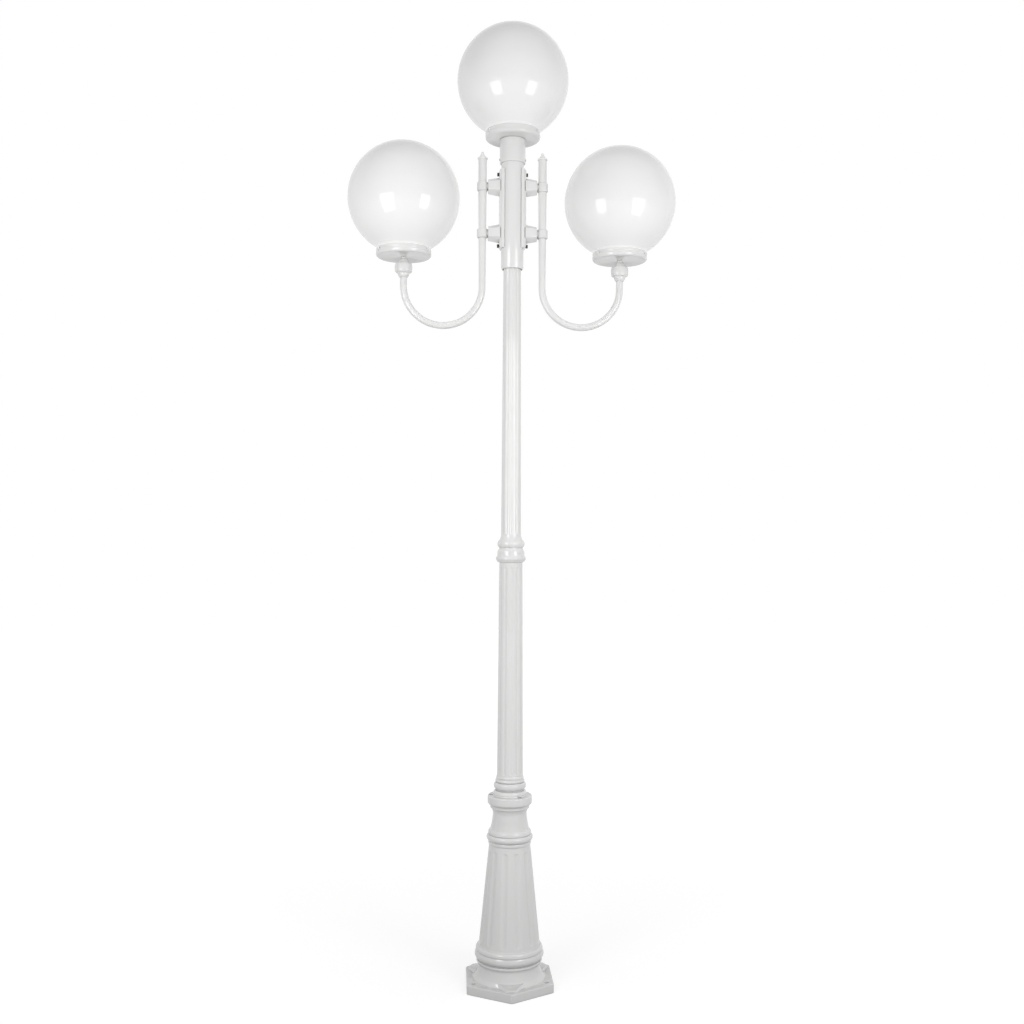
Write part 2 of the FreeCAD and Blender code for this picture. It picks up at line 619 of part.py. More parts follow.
def cylinder(name, radius, height, across=0, back=0, up=0, turn=None):
    return solid("Part::Cylinder", name, across, back, up, turn, Radius=radius, Height=height)


def cut_from(label, base, tool):
    piece = new_piece("Part::Cut", label)
    piece.Base = base
    piece.Tool = tool
    return piece


def fused(label, parts):
    piece = new_piece("Part::MultiFuse", label)
    piece.Shapes = parts
    return piece


def group(label, members):
    """Identical small pieces that share one node as separate solids."""
    piece = new_piece("Part::Compound", label)
    piece.Links = members
    pieces.append(piece)
    return piece


def tube(label, outer, inner, height, across=0, up=0):
    """A round tube made of one cylinder less another."""
    shell = cylinder(f"{label}_outside", outer, height)
    bore = cylinder(f"{label}_bore", inner, height)
    piece = cut_from(label, shell, bore)
    place(piece, across=across, up=up)
    pieces.append(piece)
    return piece


def nut(label, reach, bore, height, across=0, up=0):
    """A hexagonal nut."""
    prism = solid("Part::Prism", f"{label}_hexagon", Polygon=6, Circumradius=reach, Height=height)
    hole = cylinder(f"{label}_hole", bore, height)
    piece = cut_from(label, prism, hole)
    place(piece, across=across, up=up)
    pieces.append(piece)
    return piece


# ---------------------------------------------------------------- column base

def hexagon_corners():
    """Corners of the foot plate, one of them pointing to the front."""
    side = size.foot_half_width
    reach = size.foot_reach
    return [
        (0, -reach), (side, reach * -0.5), (side, reach * 0.5),
        (0, reach), (-side, reach * 0.5), (-side, reach * -0.5),
    ]


def base_outline():
    s = size
    ring_top = s.skirt_top + s.low_ring_height
    return [
        (0, 0), (s.skirt_foot, 0), (s.skirt_foot, s.foot_height),
        (s.skirt_head, s.skirt_top, bulge(-1, s.skirt_hollow)),
        (s.skirt_head, ring_top, bulge(1, s.low_ring_curve)),
        (s.low_groove, ring_top + s.groove_slope), (s.low_groove, s.low_bead_foot - s.groove_slope),
        (s.low_bead_root, s.low_bead_foot),
        (s.low_bead_root, s.low_bead_top, bulge(1, s.low_bead_curve)),
        (s.low_groove, s.low_bead_top + s.groove_slope), (s.low_groove, s.low_cap_foot - s.groove_slope),
        (s.low_cap_root, s.low_cap_foot),
        (s.taper_foot, s.taper_start, bulge(1, s.low_cap_curve)),
        (s.taper_head, s.taper_end),
        (s.taper_head, s.high_ring_top, bulge(1, s.high_ring_curve)),
        (s.high_bead_root, s.high_ring_top + s.high_step),
        (s.high_bead_root, s.high_bead_top, bulge(1, s.high_bead_curve)),
        (s.high_bead_root - s.high_groove_depth, s.high_bead_top + s.groove_slope),
        (s.high_bead_root, s.high_bead_top + s.high_groove_depth),
        (s.high_cap_root, s.high_cap_top, bulge(1, s.high_cap_curve)),
        (s.neck_radius, s.neck_height, bulge(-1, s.neck_long_curve)),
        (s.neck_radius + s.neck_flare, s.neck_top, bulge(-1, s.neck_short_curve)),
        (s.neck_step, s.neck_top + s.casting_edge), (s.neck_step, s.flange_foot - s.casting_edge),
        (s.flange_radius - s.flange_under_round, s.flange_foot),
        (s.flange_radius, s.flange_foot + s.flange_under_round, bulge(1, s.flange_under_round)),
        (s.flange_radius, s.flange_top - s.flange_over_round),
        (s.flange_radius - s.flange_over_round, s.flange_top, bulge(1, s.flange_over_round)),
        (s.boss_radius, s.flange_top), (s.boss_radius, s.boss_top - s.casting_edge),
        (s.boss_radius - s.casting_edge, s.boss_top), (0, s.boss_top),
    ]


def base_hollow():
    s = size
    return [
        (0, 0), (s.hollow_foot, 0), (s.hollow_skirt, s.skirt_top),
        (s.hollow_taper_foot, s.taper_start), (s.hollow_taper_head, s.taper_end),
        (s.hollow_neck, s.neck_height), (s.hollow_neck, s.hollow_top),
        (s.low_coupling_radius, s.hollow_top), (s.low_coupling_radius, s.boss_top), (0, s.boss_top),
    ]


def web_section(body, name, foot, crest, height, lift):
    corners = [
        (-foot, size.foot_height - size.web_sink), (foot, size.foot_height - size.web_sink),
        (crest, height), (-crest, height),
    ]
    return draw(body, name, "XZ_Plane", corners, lift=lift)


def base_casting():
    """Hexagonal foot, three corner webs, beaded and fluted column, flange and boss, hollow inside."""
    s = size
    body = new_body("base_casting")
    plate = pad(body, "foot_plate", draw(body, "foot_outline", "XY_Plane", hexagon_corners()), s.foot_height)
    corners = soften(body, "PartDesign::Fillet", "foot_corners", plate,
                     lambda edge: abs(edge.tangentAt(edge.FirstParameter).z) > 0.9, s.foot_corner_round)
    soften(body, "PartDesign::Fillet", "foot_edge", corners,
           lambda edge: edge.BoundBox.ZMin > s.foot_height.value - 0.01, s.foot_edge_round)
    root = web_section(body, "web_root_section", s.web_root_foot, s.web_root_crest,
                       s.web_root_height, s.web_root)
    tip = web_section(body, "web_tip_section", s.web_tip_foot, s.web_tip_crest,
                      s.web_tip_height, s.web_tip)
    repeat(body, "webs", [loft(body, "web", root, tip)], 3)
    spin(body, "column", draw(body, "column_outline", "XZ_Plane", base_outline()))
    flute(body, "base_flutes", (s.taper_foot, s.base_flute_foot), (s.base_flute_head, s.base_flute_top),
          s.base_flute_depth, s.base_flute_curve, BASE_FLUTE_TURN)
    spin(body, "hollow", draw(body, "hollow_outline", "XZ_Plane", base_hollow()), cut=True)
    anchor = draw_circles(body, "anchor_circle", "XY_Plane", [(0, s.anchor_circle, s.anchor_hole)])
    hole = pocket(body, "anchor_hole", anchor, s.foot_height, backwards=True)
    repeat(body, "anchor_holes", [hole], 3)
    spot = draw_circles(body, "flange_spot", "XY_Plane", [(-s.flange_circle, 0, s.flange_hole)],
                        lift=s.flange_top)
    hole = pocket(body, "flange_hole", spot, s.flange_top - s.flange_foot)
    repeat(body, "flange_holes", [hole], 3)
    lug_corners = [
        (-s.lug_half_width, s.lug_foot), (s.lug_half_width, s.lug_foot),
        (s.lug_half_width, s.lug_top), (-s.lug_half_width, s.lug_top),
    ]
    lug = draw(body, "lug_outline", "XZ_Plane", lug_corners, lift=-s.lug_face)
    pad(body, "terminal_lug", lug, s.lug_back - s.lug_face, backwards=True)
    middle = (s.block_foot + s.block_top) * 0.5
    fixings = [(s.block_screw_across * x, middle, s.small_screw) for x in (-1, 1)]
    holes = draw_circles(body, "lug_screw_spots", "XZ_Plane", fixings, lift=-s.lug_face)
    pocket(body, "lug_screw_holes", holes, (s.lug_back - s.lug_face) * 0.5)
    earth = draw_circles(body, "earth_spot", "XY_Plane", [(0, s.earth_back, s.earth_screw)],
                         lift=s.lug_foot)
    pocket(body, "earth_hole", earth, (s.lug_top - s.lug_foot) * 0.5, backwards=True)


def terminal_fittings():
    """Terminal block on the lug, its two fixing screws and the earth screw under the lug."""
    s = size
    width = s.lug_half_width * 2.0
    height = s.block_top - s.block_foot
    front = s.lug_face - s.block_depth
    block = solid("Part::Box", "block_body", -s.lug_half_width, front, s.block_foot,
                  Length=width, Width=s.block_depth, Height=height)
    along_back = Rotation(Vector(1, 0, 0), -90)
    middle = (s.block_foot + s.block_top) * 0.5
    holes = []
    screws = []
    for number, side in enumerate((-1, 1), start=1):
        across = s.block_screw_across * side
        holes.append(cylinder(f"block_hole_{number}", s.small_screw, s.block_depth, across, front,
                              middle, along_back))
        shank = cylinder(f"block_shank_{number}", s.small_screw, s.block_screw_length, across, front,
                         middle, along_back)
        head = cylinder(f"block_head_{number}", s.small_screw_head, s.small_screw_head_height, across,
                        front - s.small_screw_head_height, middle, along_back)
        screws.append(fused(f"block_screw_{number}", [shank, head]))
    for number, shift in enumerate((-1, 0, 1), start=1):
        holes.append(cylinder(f"wire_entry_{number}", s.wire_entry, height, s.wire_pitch * shift,
                              front + s.block_depth * 0.5, s.block_foot))
    block_holes = fused("block_holes", holes)
    pieces.append(cut_from("terminal_block", block, block_holes))
    group("terminal_block_screws", screws)
    shank = cylinder("earth_shank", s.earth_screw, s.earth_length, 0, s.earth_back, s.lug_foot)
    head = cylinder("earth_head", s.earth_head, s.earth_head_height, 0, s.earth_back,
                    s.lug_foot - s.earth_head_height)
    pieces.append(fused("earth_screw", [shank, head]))


def base_joint():
    """Threaded coupling from the base into the lower pole, locked by a nut under the boss."""
    s = size
    length = s.low_coupling_top - s.low_coupling_foot
    tube("base_coupling", s.low_coupling_radius, s.low_coupling_bore, length, up=s.low_coupling_foot)
    nut("base_lock_nut", s.column_nut_reach, s.low_coupling_radius, s.hollow_top - s.column_nut_foot,
        up=s.column_nut_foot)


# ---------------------------------------------------------------- poles

def lower_pole():
    """Lower fluted pole with its foot beads and the collar that carries the upper pole."""
    s = size
    body = new_body("lower_pole")
    outside = [
        (0, s.boss_top), (s.pole_foot_radius, s.boss_top), (s.pole_foot_radius, s.pole_foot_edge),
        (s.pole_bead_root, s.pole_bead_foot),
        (s.pole_bead_root, s.pole_bead_top, bulge(1, s.pole_bead_curve)),
        (s.pole_ring_root, s.pole_ring_top, bulge(1, s.pole_ring_curve)),
        (s.pole_shaft_low, s.pole_shaft_foot, bulge(-1, s.pole_cove_curve)),
        (s.pole_shaft_high, s.collar_foot), (s.collar_lip, s.collar_lip_top),
        (s.collar_root, s.collar_bead_foot),
        (s.collar_root, s.collar_bead_top, bulge(1, s.collar_bead_curve)),
        (s.collar_band, s.collar_band_foot), (s.collar_band, s.collar_band_top),
        (s.pole_top_radius, s.collar_cove_top, bulge(1, s.collar_cove_curve)),
        (s.pole_top_radius, s.pole_top), (0, s.pole_top),
    ]
    spin(body, "lower_pole_turning", draw(body, "lower_pole_outline", "XZ_Plane", outside))
    flute(body, "lower_pole_flutes", (s.pole_shaft_low, s.pole_flute_foot),
          (s.pole_shaft_high, s.pole_flute_top), s.pole_flute_depth, s.pole_flute_curve, 0.0)
    bore = [
        (0, s.boss_top), (s.low_coupling_radius, s.boss_top),
        (s.low_coupling_radius, s.pole_bore_foot), (s.pole_bore, s.pole_bore_foot + s.pole_bore_slope),
        (s.pole_bore, s.pole_bore_top), (s.mid_coupling_radius, s.pole_bore_top + s.pole_bore_slope),
        (s.mid_coupling_radius, s.pole_top), (0, s.pole_top),
    ]
    spin(body, "lower_pole_bore", draw(body, "lower_pole_bore_outline", "XZ_Plane", bore), cut=True)


def mid_coupling():
    """Threaded coupling between the poles."""
    s = size
    tube("mid_coupling", s.mid_coupling_radius, s.mid_coupling_bore, s.mid_coupling_top - s.mid_coupling_foot,
         up=s.mid_coupling_foot)


def upper_pole():
    """Upper fluted pole; its top end stands inside the head tube."""
    s = size
    body = new_body("upper_pole")
    outside = [
        (0, s.pole_top), (s.pole_top_radius, s.pole_top), (s.pole_top_radius, s.shaft_foot_edge),
        (s.shaft_ring_root, s.shaft_ring_foot),
        (s.shaft_ring_root, s.shaft_ring_top, bulge(1, s.shaft_ring_curve)),
        (s.shaft_cove_foot, s.shaft_cove_top, bulge(-1, s.shaft_cove_curve)),
        (s.shaft_low, s.shaft_start), (s.shaft_high, s.tube_foot), (s.shaft_high, s.shaft_top),
        (0, s.shaft_top),
    ]
    spin(body, "upper_pole_turning", draw(body, "upper_pole_outline", "XZ_Plane", outside))
    flute(body, "upper_pole_flutes", (s.shaft_low, s.top_flute_foot), (s.top_flute_head, s.shaft_flute_top),
          s.top_flute_depth, s.top_flute_curve, 0.0)
    bore = [
        (0, s.pole_top), (s.mid_coupling_radius, s.pole_top),
        (s.mid_coupling_radius, s.shaft_bore_step), (s.shaft_bore, s.shaft_bore_foot),
        (s.shaft_bore, s.shaft_top), (0, s.shaft_top),
    ]
    spin(body, "upper_pole_bore", draw(body, "upper_pole_bore_outline", "XZ_Plane", bore), cut=True)


# ---------------------------------------------------------------- head tube and sleeve

def cross_bore(body, name, plane, spots, length):
    """Round holes through both walls, drilled each way from the body's middle plane."""
    drilled = draw_circles(body, f"{name}_spots", plane, spots)
    feature = pocket(body, name, drilled, length)
    feature.Midplane = True
    return feature


def head_tube():
    """Tube that slides over the upper pole and carries both brackets and the top head."""
    s = size
    body = new_body("head_tube")
    outside = [
        (s.tube_bore, s.tube_foot), (s.tube_lip, s.tube_foot), (s.tube_radius, s.tube_lip_top),
        (s.tube_radius, s.tube_top), (s.tube_bore, s.tube_top),
    ]
    spin(body, "head_tube_turning", draw(body, "head_tube_outline", "XZ_Plane", outside))
    spots = [(0, s.bolt_high, s.bolt_shank), (0, s.bolt_low, s.bolt_shank), (0, s.boss_high, s.wire_hole)]
    cross_bore(body, "head_tube_holes", "YZ_Plane", spots, s.cross_bore_length)


def post_top_sleeve():
    """Cap that fits over the head tube and carries the top fitter."""
    s = size
    body = new_body("post_top_sleeve")
    outside = [
        (s.sleeve_bore, s.sleeve_foot), (s.sleeve_radius - s.sleeve_edge, s.sleeve_foot),
        (s.sleeve_radius, s.sleeve_foot + s.sleeve_edge), (s.sleeve_radius, s.top_head - s.sleeve_edge),
        (s.sleeve_radius - s.sleeve_edge, s.top_head), (s.nipple_radius, s.top_head),
        (s.nipple_radius, s.tube_top), (s.sleeve_bore, s.tube_top),
    ]
    spin(body, "sleeve_turning", draw(body, "sleeve_outline", "XZ_Plane", outside))
    spots = [(0, s.sleeve_screw_height, s.set_screw)]
    cross_bore(body, "sleeve_screw_holes", "YZ_Plane", spots, s.cross_bore_length)


def sleeve_screws():
    s = size
    screws = []
    for name, side in SIDES:
        facing = Rotation(Vector(0, 1, 0), 90 * side)
        screws.append(cylinder(f"sleeve_screw_{name}", s.set_screw, s.sleeve_screw_length,
                               side * s.tube_radius, 0, s.sleeve_screw_height, facing))
    group("sleeve_screws", screws)


# ---------------------------------------------------------------- arm brackets and arms

def hexagon_upright(body, name, height, reach, lift):
    """A hexagon across the arm's direction, with one corner up and one down."""
    side = reach * math.sqrt(0.75)
    half = reach * 0.5
    corners = [
        (0, height - reach), (side, height - half), (side, height + half),
        (0, height + reach), (-side, height + half), (-side, height - half),
    ]
    return draw(body, name, "YZ_Plane", corners, lift=lift)


def arm_bracket(name, side):
    """Saddle on the head tube, two six-sided bosses, and a ring round the arm on each."""
    s = size
    body = new_body(f"arm_bracket_{name}")
    face = side * s.saddle_face
    wing = side * s.saddle_wing
    width = s.saddle_half_width
    corner = s.saddle_corner
    shoulder = side * (s.saddle_face - corner)
    plan = [
        (wing, -width), (shoulder, -width), (face, corner - width),
        (face, width - corner), (shoulder, width), (wing, width),
    ]
    outline = draw(body, f"saddle_plan_{name}", "XY_Plane", plan, lift=s.saddle_foot)
    saddle = pad(body, f"saddle_{name}", outline, s.saddle_top - s.saddle_foot)

    def across_face_end(edge):
        box = edge.BoundBox
        level = box.ZLength < 0.01
        return level and abs(abs(box.Center.x) - s.saddle_face.value) < 0.01

    soften(body, "PartDesign::Chamfer", f"saddle_bevel_{name}", saddle, across_face_end, s.saddle_bevel)
    for spot, height, bore in (("high", s.boss_high, s.ring_bore_high), ("low", s.boss_low, s.ring_bore_low)):
        tag = f"{spot}_{name}"
        root = hexagon_upright(body, f"boss_root_{tag}", height, s.boss_root_reach, face)
        tip = hexagon_upright(body, f"boss_tip_{tag}", height, s.boss_tip_reach, side * s.boss_end)
        loft(body, f"boss_{tag}", root, tip)
        neck = draw_circles(body, f"neck_circle_{tag}", "YZ_Plane", [(0, height, s.boss_neck)],
                            lift=side * s.boss_end)
        pad(body, f"neck_{tag}", neck, s.arm_leg - s.boss_end, backwards=side < 0)
        ring_foot = height - s.ring_height * 0.5
        ring = draw_circles(body, f"ring_circle_{tag}", "XY_Plane", [(side * s.arm_leg, 0, s.ring_radius)],
                            lift=ring_foot)
        ring_pad = pad(body, f"ring_{tag}", ring, s.ring_height)

        ends = (ring_foot.value, ring_foot.value + s.ring_height.value)

        def round_ring_end(edge):
            box = edge.BoundBox
            wide = abs(box.YLength - 2 * s.ring_radius.value) < 0.2
            return wide and any(abs(box.ZMin - end) + box.ZLength < 0.01 for end in ends)

        soften(body, "PartDesign::Chamfer", f"ring_edge_{tag}", ring_pad, round_ring_end, s.ring_edge)
        hole = draw_circles(body, f"ring_hole_{tag}", "XY_Plane", [(side * s.arm_leg, 0, bore)],
                            lift=ring_foot - s.overcut)
        pocket(body, f"ring_bore_{tag}", hole, s.ring_height + s.overcut * 2.0, backwards=True)
    seat = draw_circles(body, f"seat_circle_{name}", "XY_Plane", [(0, 0, s.saddle_seat)],
                        lift=s.saddle_foot - s.overcut)
    pocket(body, f"seat_{name}", seat, s.saddle_top - s.saddle_foot + s.overcut * 2.0, backwards=True)
    spots = [(0, s.bolt_high, s.bolt_shank), (0, s.bolt_low, s.bolt_shank)]
    bolts = draw_circles(body, f"bolt_spots_{name}", "YZ_Plane", spots)
    pocket(body, f"bolt_holes_{name}", bolts, s.saddle_face + s.overcut, backwards=side > 0)
    wire = draw_circles(body, f"wire_spot_{name}", "YZ_Plane", [(0, s.boss_high, s.boss_wire_bore)])
    pocket(body, f"wire_bore_{name}", wire, s.arm_leg, backwards=side > 0)
    middle = side * s.arm_leg
    grubs = [(middle, s.boss_high, s.set_screw), (middle, s.boss_low, s.set_screw)]
    back = draw_circles(body, f"grub_spots_{name}", "XZ_Plane", grubs)
    pocket(body, f"grub_holes_{name}", back, s.ring_radius + s.overcut)


def bracket_bolts(name, side):
    """Two socket-head bolts that hold the saddle and grip the pole."""
    s = size
    facing = Rotation(Vector(0, 1, 0), 90 * side)
    bolts = []
    for spot, height in (("high", s.bolt_high), ("low", s.bolt_low)):
        tag = f"{spot}_{name}"
        shank = cylinder(f"bolt_shank_{tag}", s.bolt_shank, s.saddle_face - s.bolt_tip, side * s.bolt_tip,
                         0, height, facing)
        head = cylinder(f"bolt_head_{tag}", s.bolt_head, s.bolt_head_height, side * s.saddle_face, 0,
                        height, facing)
        socket = solid("Part::Prism", f"bolt_socket_{tag}", side * (s.saddle_face + s.bolt_head_height * 0.5),
                       0, height, facing, Polygon=6, Circumradius=s.bolt_socket,
                       Height=s.bolt_head_height)
        bolts.append(cut_from(f"bolt_{tag}", fused(f"bolt_blank_{tag}", [shank, head]), socket))
    group(f"bracket_bolts_{name}", bolts)


def ring_screws(name, side):
    """Set screws at the back of the two rings, gripping the arm."""
    s = size
    backward = Rotation(Vector(1, 0, 0), -90)
    screws = []
    for spot, height, bore in (("high", s.boss_high, s.ring_bore_high), ("low", s.boss_low, s.ring_bore_low)):
        tag = f"{spot}_{name}"
        length = s.ring_radius - bore + s.ring_screw_proud
        blank = cylinder(f"ring_screw_blank_{tag}", s.set_screw, length, side * s.arm_leg, bore,
                         height, backward)
        socket = solid("Part::Prism", f"ring_screw_socket_{tag}", side * s.arm_leg, bore + length * 0.5,
                       height, backward, Polygon=6, Circumradius=s.set_screw_socket, Height=length)
        screws.append(cut_from(f"ring_screw_{tag}", blank, socket))
    group(f"ring_screws_{name}", screws)


def arm(name, side):
    """J-shaped tube: a widening upright, a half turn and a short riser."""
    s = size
    body = new_body(f"arm_{name}")
    upright = [
        (s.arm_thin_bore, s.arm_taper_foot), (s.arm_thin, s.arm_taper_foot),
        (s.arm_thick, s.arm_taper_top), (s.arm_thick, s.arm_top), (s.arm_thick_bore, s.arm_top),
        (s.arm_thick_bore, s.arm_taper_top),
    ]
    spin(body, f"upright_{name}", draw(body, f"upright_outline_{name}", "XZ_Plane", upright))
    rings = [(0, 0, s.arm_thin), (0, 0, s.arm_thin_bore)]
    section = draw_circles(body, f"arm_section_{name}", "XY_Plane", rings, lift=s.arm_taper_foot)
    quarter = side * s.arm_turn
    bend = bulge(side, s.arm_turn)
    path = [
        (0, s.arm_taper_foot), (0, s.arm_turn_height),
        (quarter, s.arm_turn_height - s.arm_turn, bend), (quarter * 2.0, s.arm_turn_height, bend),
        (quarter * 2.0, s.side_head - s.riser_depth),
    ]
    route = draw(body, f"arm_route_{name}", "XZ_Plane", path, closed=False)
    bent = add_feature(body, "PartDesign::AdditivePipe", f"bent_tube_{name}", section)
    bent.Spine = (route, [f"Edge{index}" for index in range(1, len(path))])
    wire = draw_circles(body, f"arm_wire_spot_{name}", "YZ_Plane", [(0, s.boss_high, s.arm_wire_hole)])
    pocket(body, f"arm_wire_hole_{name}", wire, s.arm_thick + s.overcut, backwards=side < 0)
    place(body, across=side * s.arm_leg)


def finial(name, side):
    """Domed disc, bulb and ball that close the top of the arm."""
    s = size
    ball_foot = math.sqrt(s.finial_ball.value ** 2 - s.finial_waist.value ** 2)
    waist_height = Size(s.finial_ball_height.value - ball_foot,
                        f"({s.finial_ball_height.formula} - sqrt({s.finial_ball.formula} ^ 2"
                        f" - {s.finial_waist.formula} ^ 2))")
    corners = [
        (0, -s.finial_spigot_length), (s.finial_spigot, -s.finial_spigot_length), (s.finial_spigot, 0),
        (s.finial_disc, 0), (s.finial_disc, s.finial_rim),
        (s.finial_dome_radius, s.finial_dome_top, bulge(1, s.finial_dome_curve)),
        (s.finial_bulb_radius, s.finial_bulb_foot),
        (s.finial_waist, waist_height, bulge(1, s.finial_bulb_curve)),
        (s.finial_ball, s.finial_ball_height, bulge(1, s.finial_ball)),
        (0, s.finial_ball_height + s.finial_ball, bulge(1, s.finial_ball)),
    ]
    turned(f"finial_{name}", corners, across=side * s.arm_leg, up=s.arm_top)


# ---------------------------------------------------------------- heads

def knuckle(name, across, up):
    """Cone and barrel that join the end of an arm to its head."""
    s = size
    corners = [
        (s.arm_thin, -s.knuckle_foot), (s.knuckle_foot_radius, -s.knuckle_foot),
        (s.knuckle_waist_radius, -s.knuckle_waist),
        (s.knuckle_radius, s.knuckle_edge - s.knuckle_waist),
        (s.knuckle_radius, -s.knuckle_top - s.knuckle_edge),
        (s.knuckle_radius - s.knuckle_edge, -s.knuckle_top),
        (s.nipple_radius, -s.knuckle_top), (s.nipple_radius, s.riser_chamfer - s.riser_depth),
        (s.arm_thin, -s.riser_depth),
    ]
    turned(f"knuckle_{name}", corners, across, up)


def dome_spacer(name, across, up):
    """Domed washer between the knuckle and the fitter."""
    s = size
    corners = [
        (s.nipple_radius, -s.knuckle_top), (s.dome_radius, -s.knuckle_top),
        (s.dome_radius, s.dome_rim - s.knuckle_top), (s.dome_crown, 0, bulge(1, s.dome_curve)),
        (s.nipple_radius, 0),
    ]
    turned(f"dome_spacer_{name}", corners, across, up)


def fitter(name, across, up):
    """Round dish that holds the globe's neck, with three screw holes in its wall."""
    s = size
    inner = s.fitter_radius - s.fitter_wall
    inner_round = s.fitter_round - s.fitter_wall
    corners = [
        (s.nipple_radius, 0), (s.fitter_radius - s.fitter_round, 0),
        (s.fitter_radius, s.fitter_round, bulge(1, s.fitter_round)),
        (s.fitter_radius, s.fitter_height), (inner, s.fitter_height),
        (inner, s.fitter_floor + inner_round),
        (inner - inner_round, s.fitter_floor, bulge(-1, inner_round)),
        (s.nipple_radius, s.fitter_floor),
    ]
    body = turned(f"fitter_{name}", corners, across, up)
    spot = draw_circles(body, f"neck_screw_spot_{name}", "XZ_Plane", [(0, s.neck_screw_height, s.set_screw)])
    hole = pocket(body, f"neck_screw_hole_{name}", spot, s.fitter_radius + s.overcut)
    repeat(body, f"neck_screw_holes_{name}", [hole], 3)


def neck_screws(name, across, up):
    """Three pan-head screws that retain the globe's neck."""
    s = size
    screws = []
    for number, angle in enumerate(SCREW_TURNS, start=1):
        tag = f"{name}_{number}"
        shank = cylinder(f"neck_shank_{tag}", s.set_screw, s.fitter_radius - s.neck_screw_tip,
                         up=s.neck_screw_tip)
        head = solid("Part::Cone", f"neck_head_{tag}", up=s.fitter_radius, Radius1=s.neck_screw_head,
                     Radius2=s.neck_screw_crown, Height=s.neck_screw_head_height)
        screw = fused(f"neck_screw_{tag}", [shank, head])
        screw.Placement = Placement(Vector(), Rotation(Vector(0, 0, 1), angle)
                                    .multiply(Rotation(Vector(0, 1, 0), 90)))
        place(screw, up=s.neck_screw_height)
        screws.append(screw)
    place(group(f"neck_screws_{name}", screws), across=across, up=up)


def lamp_holder(name, across, up):
    """Ceramic lamp holder with a threaded contact shell in its well."""
    s = size
    corners = [
        (s.nipple_radius, s.nut_top), (s.holder_foot_radius, s.nut_top),
        (s.holder_radius, s.holder_shoulder), (s.holder_radius, s.holder_top - s.holder_edge),
        (s.holder_radius - s.holder_edge, s.holder_top), (s.contact_outer + s.holder_flare, s.holder_top),
        (s.contact_outer, s.contact_top), (s.contact_outer, s.holder_well),
        (s.nipple_radius, s.holder_well),
    ]
    turned(f"lamp_holder_{name}", corners, across, up)
    tube(f"contact_shell_{name}", s.contact_outer, s.contact_inner, s.contact_top - s.contact_foot,
         across, up + s.contact_foot)


def lamp(name, across, up):
    """Screw cap and opal bulb of one lamp."""
    s = size
    cap = [
        (0, s.cap_foot), (s.cap_contact, s.cap_foot), (s.cap_cone, s.cap_foot + s.cap_cone_height),
        (s.cap_radius, s.cap_shoulder), (s.cap_radius, s.cap_top), (0, s.cap_top),
    ]
    turned(f"lamp_cap_{name}", cap, across, up)
    bulb = [
        (0, s.cap_top), (s.cap_radius, s.cap_top), (s.lamp_collar, s.cap_top + s.lamp_collar_slope),
        (s.lamp_collar, s.lamp_collar_top),
        (s.lamp_radius, s.lamp_widest, bulge(1, s.lamp_flank_curve)),
        (0, s.lamp_widest + s.lamp_radius, bulge(1, s.lamp_radius)),
    ]
    turned(f"lamp_bulb_{name}", bulb, across, up)


def globe(name, across, up):
    """Opal globe: a thin sphere, open below, with a short neck."""
    s = size
    outer = s.globe_radius
    inner = outer - s.globe_wall
    neck = s.globe_neck
    neck_bore = neck - s.globe_wall
    drop = math.sqrt(outer.value ** 2 - neck.value ** 2)
    inner_drop = math.sqrt(inner.value ** 2 - neck_bore.value ** 2)
    shoulder = Size(s.globe_centre.value - drop,
                    f"({s.globe_centre.formula} - sqrt({outer.formula} ^ 2 - {neck.formula} ^ 2))")
    inner_shoulder = Size(s.globe_centre.value - inner_drop,
                          f"({s.globe_centre.formula} - sqrt({inner.formula} ^ 2 - {neck_bore.formula} ^ 2))")
    corners = [
        (neck_bore, s.globe_neck_foot), (neck, s.globe_neck_foot), (neck, shoulder),
        (outer, s.globe_centre, bulge(1, outer)), (0, s.globe_centre + outer, bulge(1, outer)),
        (0, s.globe_centre + inner), (inner, s.globe_centre, bulge(-1, inner)),
        (neck_bore, inner_shoulder, bulge(-1, inner)),
    ]
    turned(f"globe_{name}", corners, across, up)


def head(name, across, up, nipple_depth):
    """One complete head standing on its threaded wiring tube."""
    s = size
    tube(f"nipple_{name}", s.nipple_radius, s.nipple_bore, s.nipple_top + nipple_depth, across,
         up - nipple_depth)
    fitter(name, across, up)
    nut(f"lock_nut_{name}", s.nut_reach, s.nipple_radius, s.nut_top - s.fitter_floor, across,
        up + s.fitter_floor)
    tube(f"gasket_{name}", s.gasket_outer, s.gasket_inner, s.gasket_top - s.fitter_floor, across,
         up + s.fitter_floor)
    neck_screws(name, across, up)
    lamp_holder(name, across, up)
    lamp(name, across, up)
    globe(name, across, up)


# ---------------------------------------------------------------- the whole post

def build():
    s = size
    base_casting()
    terminal_fittings()
    base_joint()
    lower_pole()
    mid_coupling()
    upper_pole()
    head_tube()
    post_top_sleeve()
    sleeve_screws()
    for name, side in SIDES:
        arm_bracket(name, side)
        bracket_bolts(name, side)
        ring_screws(name, side)
        arm(name, side)
        finial(name, side)
        across = side * (s.arm_leg + s.arm_turn * 2.0)
        knuckle(name, across, s.side_head)
        dome_spacer(name, across, s.side_head)
        head(name, across, s.side_head, s.nipple_low_side)
    head("top", 0, s.top_head, s.top_head - s.tube_top)


